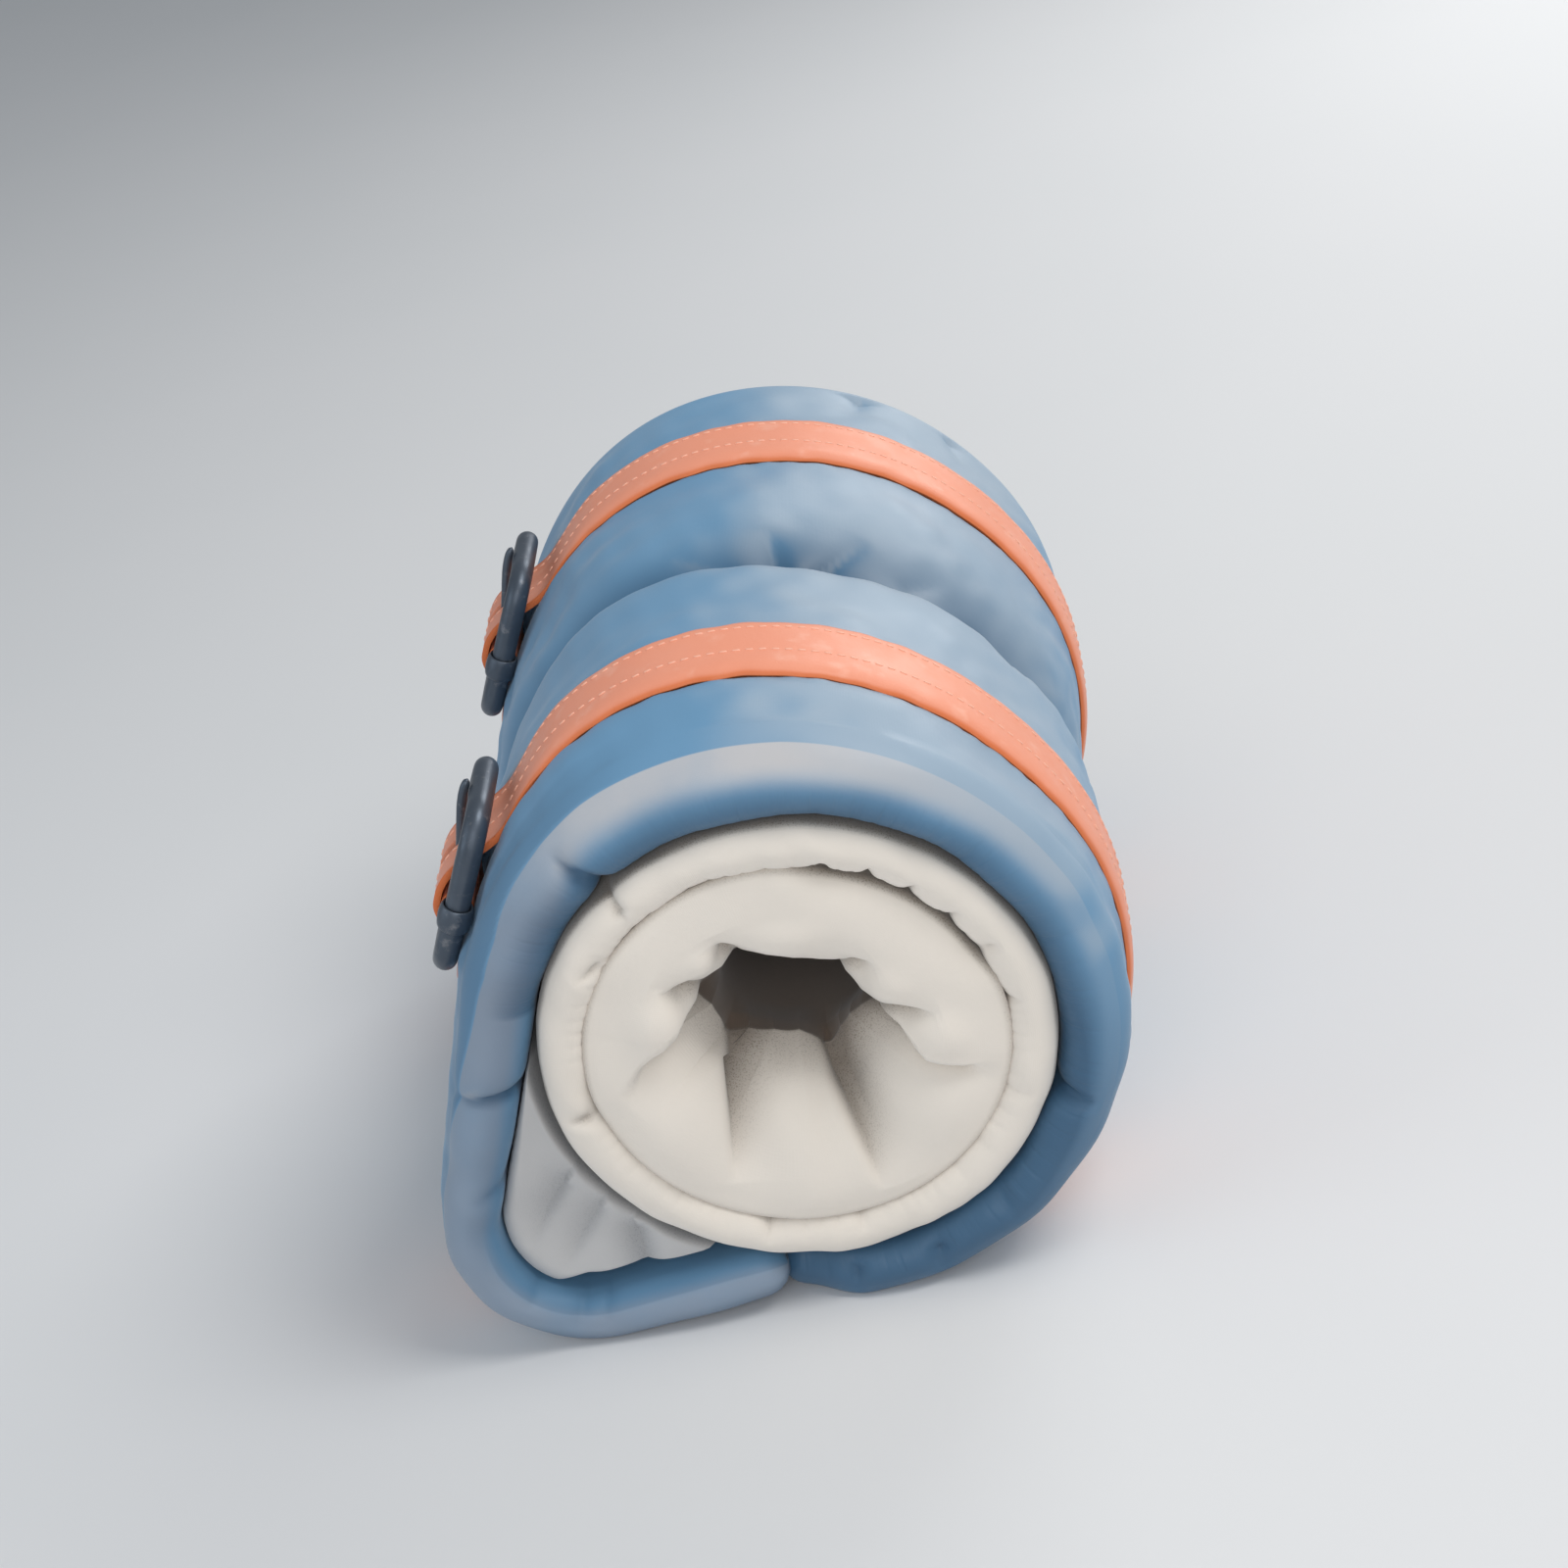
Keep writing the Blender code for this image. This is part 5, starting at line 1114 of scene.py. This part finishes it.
def strap_stretches():
    """The strap's middle line in stretches: points, thickness and how far the strap is padded out.

    It starts at the end that is turned back, goes round the bar, down the cloth, round the slack loop, over
    the roll and under the frame's upper rod, and ends as the tail, which lies on the turned-back end.
    """
    fold = BAR_RADIUS + LAYER_SPACE + STRAP_THICKNESS / 2
    straight_down = np.array([-sin(BUCKLE_ANGLE), cos(BUCKLE_ANGLE)])
    middle_out = STRAP_THICKNESS / 2 - STRAP_EMBED
    main_reach = LOWER_FOOT + np.linspace(0, SINK_LENGTH, 19)
    face, normal = past_foot_line(main_reach)
    main_run = face + normal * (middle_out - sink_depth(main_reach))[:, None]
    back_reach = LOWER_FOOT + np.linspace(TURN_BACK_LENGTH, 0, 7)
    face, normal = past_foot_line(back_reach)
    spacing = STRAP_THICKNESS / 2 + LAYER_SPACE + TURN_BACK_THICKNESS / 2
    turn_back = face + normal * (middle_out - sink_depth(back_reach) + spacing)[:, None]

    window = curve_between(buckle_point(0, fold), -FOOT_UP * 0.25, -straight_down * 0.48, turn_back[-1], 24)
    around = np.linspace(pi / 2, -pi / 2, 25)
    wrap = buckle_point(fold * np.cos(around), fold * np.sin(around))
    under = curve_between(buckle_point(0, -fold), -FOOT_UP * 0.17, -straight_down * 0.52, main_run[0], 21)

    slack_angles = np.linspace(LEAVE_ANGLE, 1.5 * pi, 50)
    slack_normal = polar(1, slack_angles)
    slack_run = SLACK_CENTRE + polar(SLACK_RADIUS + middle_out, slack_angles)
    slack_past = foot_run(np.full_like(slack_angles, LEAVE_ANGLE), slack_run - middle_out * slack_normal)
    slack_run = slack_run - slack_normal * sink_depth(slack_past)[:, None]
    straight = main_run[-1] + (slack_run[0] - main_run[-1]) * np.linspace(0, 1, 30)[1:-1, None]
    roll_angles = np.linspace(-pi / 2, RISE_ANGLE, 230)
    roll_run = polar(ROLL_RADIUS + middle_out, roll_angles)
    crest = buckle_point(0.35 * BAR_OFFSET, fold + STRAP_THICKNESS + LAYER_SPACE + 0.0002)
    rise = curve_between(roll_run[-1], polar(1, RISE_ANGLE + pi / 2) * 0.38, FOOT_UP * 0.40, crest, 28)

    window_thickness = np.linspace(STRAP_THICKNESS, TURN_BACK_THICKNESS, len(window))
    lift = window_thickness / 2 + LAYER_SPACE + STRAP_THICKNESS / 2
    over_window = window - left_normals(window) * lift[:, None]
    tail_reach = LOWER_FOOT + np.linspace(0, TAIL_LENGTH, 16)
    past_stack = smooth_step(tail_reach, LOWER_FOOT + TURN_BACK_LENGTH, LOWER_FOOT + TAIL_LENGTH + 0.010)
    stack = (TURN_BACK_THICKNESS + LAYER_SPACE) * (1 - past_stack)
    face, normal = past_foot_line(tail_reach)
    tail_out = middle_out + STRAP_THICKNESS + LAYER_SPACE - sink_depth(tail_reach) + stack
    tail = face + normal * tail_out[:, None]
    return [
        (turn_back[:-1], TURN_BACK_THICKNESS, 0),
        (window[::-1][:-1], window_thickness[::-1][:-1], 0),
        (wrap[:-1], STRAP_THICKNESS, 0),
        (under[:-1], STRAP_THICKNESS, 0),
        (main_run, STRAP_THICKNESS, 0),
        (straight, STRAP_THICKNESS, 0),
        (slack_run, STRAP_THICKNESS, 0),
        (roll_run[:-1], STRAP_THICKNESS, 1),
        (rise[:-1], STRAP_THICKNESS, 0),
        (over_window[:-1], STRAP_THICKNESS, 0),
        (tail, STRAP_THICKNESS, 0),
    ]


def strap_line(depth):
    """Middle line of the strap at a depth, with the roll's crown under it.

    Returns points, the leather's thickness, the half width, how far the strap is padded out, and the
    stations between which the fold round the bar is slotted.
    """
    stretches = strap_stretches()
    points = np.concatenate([stretch for stretch, _, _ in stretches])
    thickness = np.concatenate([np.broadcast_to(thick, len(stretch)) for stretch, thick, _ in stretches])
    filled = np.concatenate([np.full(len(stretch), share, float) for stretch, _, share in stretches])
    points[:, 1] = np.maximum(points[:, 1], FLOOR + STRAP_THICKNESS / 2)
    angle = np.arctan2(points[:, 1], points[:, 0])
    points = points + polar(crown_rise(angle, depth), angle)
    filled *= smooth_step(points[:, 1] - FLOOR, 0.006, 0.05)
    filled *= 1 - smooth_step(angle, RISE_ANGLE - radians(16), RISE_ANGLE)
    run = run_along(points)
    half_width = STRAP_WIDTH / 2 * (0.35 + 0.65 * np.clip((run[-1] - run) / TAIL_POINT, 0, 1) ** 0.5)
    fold = len(stretches[0][0]) + len(stretches[1][0])
    return points, thickness, half_width, filled, (fold - FOLD_CELLS_BEFORE, fold + FOLD_CELLS_AFTER)


def prong_line():
    """The prong's middle line from eye to tip: distances up and out from the bar, and its radius."""
    rest_height = ROD_RADIUS + RUNNING_GAP + PRONG_TIP_RADIUS
    up = np.array([BAR_RADIUS + RUNNING_GAP + PRONG_EYE_WALL / 2, 0.0225, 0.040, FRAME_UPPER])
    up = np.append(up, FRAME_UPPER + PRONG_OVERHANG)
    out = rest_height * np.array([0.12, 0.54, 0.93, 1.0, 0.93])
    radius = np.array([1, 1, 0.93, PRONG_TIP_RADIUS / PRONG_RADIUS, PRONG_TIP_RADIUS / PRONG_RADIUS * 0.7])
    return up, out, radius * PRONG_RADIUS


def slot_widths(points, fold):
    """Half width of the slot through each cell of a strap: for the prong's eye, and for its shaft above."""
    half_width = np.zeros(len(points) - 1)
    half_width[fold[0] : fold[1]] = PRONG_EYE_WIDTH / 2 + SLOT_CLEARANCE
    from_bar = points - buckle_point(0, 0)
    up, out = from_bar @ FOOT_UP, from_bar @ FOOT_NORMAL
    angle, distance = np.arctan2(out, up), np.hypot(out, up)
    prong_up, prong_out, _ = prong_line()
    rest = atan2(prong_out[1], prong_up[1])
    room = PRONG_RADIUS + SLOT_CLEARANCE
    margin = (room + STRAP_THICKNESS / 2) / distance
    swept = (angle > rest - BUCKLE_ROCK - margin) & (angle < rest + PRONG_LIFT + margin)
    swept &= distance < FRAME_UPPER
    swept[: fold[1] + 3] = False
    half_width[swept[:-1] | swept[1:]] = room
    return half_width


def edge_fullness(across):
    """How far the padded-out face stands at a place across the strap: full, with a round at each edge."""
    half = STRAP_WIDTH / 2
    near = 1 - quarter_drop(1 - (across + half) / 0.0095)
    far = 1 - quarter_drop(1 - (half - across) / 0.0028)
    return near * far


def capsules(name, centres, ahead, side, out, length, radius, material):
    """Small round-ended rods, one for each centre: rings of five points along its direction."""
    reach = np.array([-0.5, -0.36, 0.36, 0.5]) * length
    round_off = np.array([0.35, 1, 1, 0.35]) * radius
    around = np.linspace(0, 2 * pi, 5, endpoint=False)
    ring = np.cos(around)[:, None] * side[:, None, None] + np.sin(around)[:, None] * out[:, None, None]
    middles = centres[:, None, None] + reach[:, None, None] * ahead[:, None, None]
    points = middles + round_off[:, None, None] * ring
    rows, columns = len(reach), len(around)
    corner_rows, corner_columns = quad_corners(rows, columns)
    quads = (corner_rows * columns + corner_columns % columns).reshape(-1, 4)
    start = np.arange(len(centres))[:, None, None] * rows * columns
    ends = np.stack([np.arange(columns)[::-1], np.arange(columns) + (rows - 1) * columns])
    faces = (start + quads).reshape(-1, 4).tolist() + (start + ends).reshape(-1, columns).tolist()
    piece = mesh_piece(name, points.reshape(-1, 3), faces, material)
    face_outwards(piece.data)
    return piece


def round_edges(piece, name, width, angle):
    """Round off the piece's edges that are sharper than an angle."""
    bevel = piece.modifiers.new(name, "BEVEL")
    bevel.width = width
    bevel.segments = 2
    bevel.limit_method = "ANGLE"
    bevel.angle_limit = angle


def strap_leather():
    """Coral leather: a fine pebbled grain, a slight gloss, and deeper orange along its cut edges."""
    leather = Finish("strap_leather", Specular_IOR_Level=0.36)
    tone = leather.mottled(26.0, LEATHER_CORAL, LEATHER_PALE_CORAL, 4.0)
    scuffs = leather.ramp(leather.noise(75.0, 5.0), 0.56, 0.74, 0.0, 0.5)
    rubbed = leather.mix(scuffs, tone, LEATHER_RUBBED)
    colour = leather.mix(leather.painted("edge") * 0.85, rubbed, LEATHER_EDGE)
    pebble = leather.node("ShaderNodeTexVoronoi", {}, {"Vector": leather.place(), "Scale": 900.0})
    height = pebble * 0.00012 + leather.noise(220.0, 3.0) * 0.00022 + leather.noise(36.0, 3.0) * 0.0005
    return leather.finish(colour, leather.uneven(60.0, 0.38, 0.52), height)


def stitch_thread():
    """Waxed thread, paler than the leather."""
    thread = Finish("stitch_thread", Specular_IOR_Level=0.4)
    colour = thread.mottled(300.0, THREAD_CORAL, THREAD_PALE_CORAL)
    return thread.finish(colour, thread.uneven(90.0, 0.45, 0.6), thread.noise(1800.0) * 0.0001)


def make_stitches(label, depth, points, outward, thickness, filled, start, thread):
    """Rows of stitches on a strap's outer face, from a station on to the tail's point, a little aslant."""
    run = run_along(points)
    places = np.arange(run[start], run[-1] - TAIL_POINT, STITCH_PITCH)
    slant = np.random.default_rng(7).uniform(-0.10, 0.10, len(places))
    rows = []
    for row in STITCH_ROWS:
        face = points + outward * (thickness / 2 + STRAP_FILL * filled * edge_fullness(row))[:, None]
        at, ahead, out = (
            np.stack([np.interp(places, run, values[:, axis]) for axis in (0, 1)], axis=-1)
            for values in (face, np.gradient(points, run, axis=0), outward)
        )
        rows.append((in_place(at, depth + row), in_space(ahead, slant), in_space(out)))
    centres, direction, out = (np.concatenate(parts) for parts in zip(*rows))
    direction, out = unit(direction), unit(out)
    side = np.cross(direction, out)
    name = f"strap_{label}_stitches"
    stitches = capsules(name, centres, direction, side, out, STITCH_LENGTH, STITCH_RADIUS, thread)
    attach(stitches, "roll")


def make_strap(label, depth, leather, thread):
    """A grid of cells along the strap's line and across its width, less its slots, given its thickness."""
    points, thickness, half_width, filled, fold = strap_line(depth)
    slots = slot_widths(points, fold)[:, None]
    columns = np.array(STRAP_COLUMNS_MM) / 1000
    middles = np.abs(columns[:-1] + columns[1:]) / 2
    kept = (middles > slots) | (slots == 0)
    reach = half_width[:, None] * np.where(np.abs(columns) < STRAP_WIDTH / 2, 0.98, 1)
    across = np.sign(columns) * np.minimum(np.abs(columns), reach)
    outward = -left_normals(points)
    extra = STRAP_FILL * filled[:, None] * edge_fullness(columns)
    middle = points[:, None] + outward[:, None] * (extra / 2)[..., None]
    wavy = swell(in_place(points, depth), 0.022, 41)[:, None] * 0.0005 * (np.abs(columns) > 0.018)
    grid = in_place(middle, depth + across + wavy * filled[:, None])
    paint = {"edge": smooth_step(np.abs(across) / half_width[:, None], 0.90, 0.99)}
    strap = grid_piece(f"strap_{label}_leather", grid, leather, wrap_columns=False, paint=paint, kept=kept)
    total = (thickness[:, None] + extra).ravel()
    thickest = float(total.max())
    group = strap.vertex_groups.new(name="thickness")
    for index, value in enumerate(total / thickest):
        group.add([index], value, "REPLACE")
    solid = strap.modifiers.new("leather", "SOLIDIFY")
    solid.thickness = thickest
    solid.offset = 0
    solid.vertex_group = "thickness"
    round_edges(strap, "worn edges", CUT_EDGE_ROUNDING, radians(50))
    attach(strap, "roll")
    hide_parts(f"strap_{label}")
    make_stitches(label, depth, points, outward, thickness, filled, fold[1] + STITCH_START_CELLS, thread)


leather = strap_leather()
thread = stitch_thread()
for label, depth in zip(("near", "far"), STRAP_PLACES):
    make_strap(label, depth, leather, thread)


# Buckles.
# Each is a round rod bent into a rounded rectangle, with a centre bar whose ends are clamped round its
# sides as collars, and a prong that turns on the bar. All of it is painted dark grey and worn to a satin.
FRAME_HALF_WIDTH = 0.0302
FRAME_CORNER = 0.0150
EYE_WALL = 0.0014
EYE_LENGTH = 0.012
EYE_BULGE = 0.0007

PAINT_DARK = (0.052, 0.068, 0.092, 1)
PAINT_PALE = (0.105, 0.128, 0.160, 1)
PAINT_RUBBED = (0.270, 0.270, 0.285, 1)

UP = in_space(FOOT_UP)
OUT = in_space(FOOT_NORMAL)
ALONG = np.array([0.0, 1.0, 0.0])


def satin_paint():
    """Dark grey paint over steel: mottled, rubbed paler in places, with fine pitting."""
    paint = Finish("satin_paint", Metallic=0.55, Specular_IOR_Level=0.5)
    rubbed = paint.ramp(paint.noise(150.0, 6.0, 0.65), 0.55, 0.72, 0.0, 0.6)
    colour = paint.mix(rubbed, paint.mottled(45.0, PAINT_DARK, PAINT_PALE, 5.0), PAINT_RUBBED)
    height = paint.noise(900.0, 3.0) * 0.00005 + paint.noise(120.0, 4.0) * 0.00012
    return paint.finish(colour, paint.uneven(80.0, 0.32, 0.48, 4.0), height)


def swept_rod(centres, side, out, radii, count=28):
    """Rings of a round rod: at each centre, a circle in the plane of two unit directions."""
    around = np.linspace(0, 2 * pi, count, endpoint=False)[:, None]
    radii = np.broadcast_to(radii, len(centres))[:, None, None]
    side, out = np.reshape(side, (-1, 1, 3)), np.reshape(out, (-1, 1, 3))
    return centres[:, None] + radii * (np.cos(around) * side + np.sin(around) * out)


def collar(centre, axis, across, hole, wall, length, bulge=0.0):
    """A short sleeve with rounded edges: a superellipse profile turned round an axis."""
    turn = np.linspace(0, 2 * pi, 28, endpoint=False)
    reach = length / 2 * np.sign(np.cos(turn)) * np.abs(np.cos(turn)) ** 0.45
    wall_share = np.sign(np.sin(turn)) * np.abs(np.sin(turn)) ** 0.45
    radius = hole + wall / 2 * (1 + wall_share)
    radius += bulge * np.clip(wall_share, 0, 1) * (1 - (2 * reach / length) ** 2)
    around = np.linspace(0, 2 * pi, 36, endpoint=False)[:, None, None]
    spoke = np.cos(around) * across + np.sin(around) * np.cross(axis, across)
    return centre + reach[:, None] * axis + radius[:, None] * spoke


def metal_piece(name, parts, material, body, node):
    """One piece from several closed surfaces: grids of points, each with whether it closes into a ring."""
    vertices, faces, start = [], [], 0
    for points, ring in parts:
        rows, columns = points.shape[:2]
        corner_rows, corner_columns = quad_corners(rows, columns, wrap_rows=ring)
        quads = (corner_rows % rows) * columns + corner_columns % columns
        faces += (start + quads.reshape(-1, 4)).tolist()
        if not ring:
            faces.append((start + np.arange(columns)[::-1]).tolist())
            faces.append((start + (rows - 1) * columns + np.arange(columns)).tolist())
        vertices.append(points.reshape(-1, 3))
        start += rows * columns
    piece = mesh_piece(name, np.concatenate(vertices), faces, material)
    solid = bmesh.new()
    solid.from_mesh(piece.data)
    bmesh.ops.recalc_face_normals(solid, faces=solid.faces)
    solid.to_mesh(piece.data)
    solid.free()
    piece.data.set_sharp_from_angle(angle=radians(60))
    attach(piece, body)
    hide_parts(node)


def frame_rod(depth):
    """A closed round rod along a rounded rectangle: four quarter circles joined by straights."""
    corner = np.linspace(0, pi / 2, 13)
    corners = ((1, FRAME_UPPER), (-1, FRAME_UPPER), (-1, -FRAME_LOWER), (1, -FRAME_LOWER))
    path = []
    for quarter, (side, up) in enumerate(corners):
        centre = np.array([side * (FRAME_HALF_WIDTH - FRAME_CORNER), up - np.sign(up) * FRAME_CORNER])
        path.append(centre + polar(FRAME_CORNER, corner + quarter * pi / 2))
    path = np.concatenate(path)
    ahead = unit(np.roll(path, -1, axis=0) - np.roll(path, 1, axis=0))
    side = ahead[:, 1:2] * ALONG - ahead[:, 0:1] * UP
    centres = in_place(buckle_point(path[:, 1], 0 * path[:, 0]), depth + path[:, 0])
    return swept_rod(centres, side, OUT, ROD_RADIUS)


def prong_shaft(depth):
    """The tapered prong: a smooth curve through its resting heights, with a rounded tip."""
    up, out, radius = prong_line()
    fine_up = np.linspace(up[0], up[-1], 40)
    fine_out = np.polyval(np.polyfit(up, out, 4), fine_up)
    from_tip = (up[-1] - fine_up) / PRONG_TIP_RADIUS
    rounding = np.sqrt(np.clip(1 - np.clip(1 - from_tip, 0, 1) ** 2, 0.03, 1))
    step = unit(np.gradient(np.stack([fine_up, fine_out], axis=1), axis=0))
    across = step[:, 0:1] * OUT - step[:, 1:2] * UP
    centres = in_place(buckle_point(fine_up, fine_out), depth)
    return swept_rod(centres, ALONG, across, np.interp(fine_up, up, radius) * rounding, 20)


def make_buckle(label, depth, paint):
    """The frame, the bar with its two collars, and the prong with its eye."""
    parts = [(frame_rod(depth), True)]
    metal_piece(f"frame_{label}", parts, paint, f"buckle_{label}", f"buckle_frame_{label}")
    ends = np.array([-1, 1]) * (FRAME_HALF_WIDTH - ROD_RADIUS - LAYER_SPACE)
    bar_ends = in_place(buckle_point([0, 0], [0, 0]), depth + ends)
    parts = [(swept_rod(bar_ends, UP, OUT, BAR_RADIUS), False)]
    for side in (-1, 1):
        centre = in_place(buckle_point(0, 0), depth + side * FRAME_HALF_WIDTH)
        clamp = collar(centre, UP, OUT, ROD_RADIUS + LAYER_SPACE, EYE_WALL, EYE_LENGTH, EYE_BULGE)
        parts.append((clamp, True))
    metal_piece(f"bar_{label}", parts, paint, f"buckle_{label}", f"buckle_bar_{label}")
    centre = in_place(buckle_point(0, 0), depth)
    eye = collar(centre, ALONG, UP, BAR_RADIUS + RUNNING_GAP, PRONG_EYE_WALL, PRONG_EYE_WIDTH)
    parts = [(eye, True), (prong_shaft(depth), False)]
    metal_piece(f"prong_{label}", parts, paint, f"prong_{label}", f"buckle_prong_{label}")


paint = satin_paint()
for label, depth in zip(("near", "far"), STRAP_PLACES):
    make_buckle(label, depth, paint)


# Zip.
# Two woven tapes are sewn along the turn's far rim with a nylon coil between them. A metal stop closes each
# end, and a slider with a pull runs on the coil.
TAPE_THICKNESS = 0.0008
TAPE_WIDTH = 0.007
TAPE_START = 0.0022
CHAIN_SIDE = 0.0036
TOOTH_PITCH = 0.0012
TOOTH_LENGTH = 0.0046
TOOTH_RADIUS = 0.00058
TOOTH_OFFSET = 0.0006
TOOTH_HEIGHT = 0.0016
CAST_ROUNDING = 0.00025
TAPE_BLUE = (0.050, 0.105, 0.190, 1)
TAPE_PALE_BLUE = (0.075, 0.140, 0.235, 1)
NYLON_DARK = (0.022, 0.034, 0.055, 1)
NYLON_PALE = (0.040, 0.058, 0.085, 1)
ZINC_DARK = (0.150, 0.155, 0.165, 1)
ZINC_BRIGHT = (0.420, 0.420, 0.430, 1)


def zip_line(step):
    """Where the far rim is full: the turn's outer face, its outward normals and the rim's radius."""
    flat, normal, half, _, run, length = turn_line(step)
    full = (run > TURN_THICKNESS * END_ROUND) & (length - run > FLAP_THICKNESS * END_ROUND)
    return flat[full], normal[full], half[full]


def over_rim(flat, normal, half, across, height):
    """Points over the far rim's round: distances across it at heights above it."""
    radius = half[:, None] + height
    angle = across / radius
    plane = (flat - normal * half[:, None])[:, None] + normal[:, None] * (radius * np.sin(angle))[..., None]
    return in_place(plane, ROLL_LENGTH - half[:, None] + radius * np.cos(angle))


def zip_cloth():
    """Dark blue woven tape."""
    cloth = Finish("zip_cloth", Sheen_Weight=0.2, Specular_IOR_Level=0.25)
    colour = cloth.mottled(160.0, TAPE_BLUE, TAPE_PALE_BLUE)
    height = cloth.threads(0.0006, 0.00012) + cloth.noise(700.0) * 0.0001
    return cloth.finish(colour, cloth.uneven(90.0, 0.74, 0.86), height)


def zip_nylon():
    """Dark nylon with a soft shine."""
    nylon = Finish("zip_nylon", Specular_IOR_Level=0.5)
    colour = nylon.mottled(220.0, NYLON_DARK, NYLON_PALE)
    return nylon.finish(colour, nylon.uneven(120.0, 0.36, 0.48), nylon.noise(800.0) * 0.00006)


def zip_metal():
    """Cast zinc, plated dark and rubbed bright in patches."""
    metal = Finish("zip_metal", Metallic=0.85)
    rubbed = metal.ramp(metal.noise(260.0, 5.0), 0.50, 0.70, 0.0, 0.8)
    colour = metal.mix(rubbed, ZINC_DARK, ZINC_BRIGHT)
    return metal.finish(colour, metal.uneven(150.0, 0.28, 0.44), metal.noise(700.0) * 0.00008)


tape_cloth = zip_cloth()
rim_line = zip_line(SHELL_STEP)
tape_spread = TAPE_START + (CHAIN_SIDE + TAPE_WIDTH - TAPE_START) * np.linspace(0, 1, 7)
for side, word in ((1, "outer"), (-1, "inner")):
    across = side * np.concatenate([tape_spread, tape_spread[::-1]])
    height = LAYER_SPACE + np.repeat([0, TAPE_THICKNESS], len(tape_spread))
    tape = grid_piece(f"tape_{word}", over_rim(*rim_line, across, height), tape_cloth)
    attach(tape, "roll")
    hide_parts(f"zip_tape_{word}")

coil_flat, coil_normal, coil_half = zip_line(TOOTH_PITCH)
stagger = TOOTH_OFFSET * (-1) ** np.arange(len(coil_flat))[:, None]
coil = over_rim(coil_flat, coil_normal, coil_half, stagger, TOOTH_HEIGHT)[:, 0]
coil_across = in_space(coil_normal)
coil_out = np.broadcast_to(ALONG, coil_across.shape)
coil_side = np.cross(coil_across, coil_out)
teeth = capsules("coil", coil, coil_across, coil_side, coil_out, TOOTH_LENGTH, TOOTH_RADIUS, zip_nylon())
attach(teeth, "roll")
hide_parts("zip_chain")


def cast_piece(node, body, material):
    """A cast metal part: the solid's own shape, with its edges rounded off."""
    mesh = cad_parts[node].data.copy()
    mesh.transform(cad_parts[node].matrix_world)
    solid = bmesh.new()
    solid.from_mesh(mesh)
    bmesh.ops.remove_doubles(solid, verts=solid.verts, dist=1e-6)
    bmesh.ops.dissolve_limit(solid, angle_limit=radians(1), verts=solid.verts, edges=solid.edges)
    solid.to_mesh(mesh)
    solid.free()
    mesh.materials.clear()
    mesh.materials.append(material)
    mesh.shade_smooth()
    mesh.set_sharp_from_angle(angle=radians(50))
    piece = put_in_scene(f"{node}_cast", mesh)
    round_edges(piece, "cast edges", CAST_ROUNDING, radians(40))
    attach(piece, body)
    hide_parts(node)


zinc = zip_metal()
cast_piece("zip_bottom_stop", "roll", zinc)
cast_piece("zip_top_stop", "roll", zinc)
cast_piece("zip_slider", "slider", zinc)
cast_piece("zip_pull", "pull", zinc)
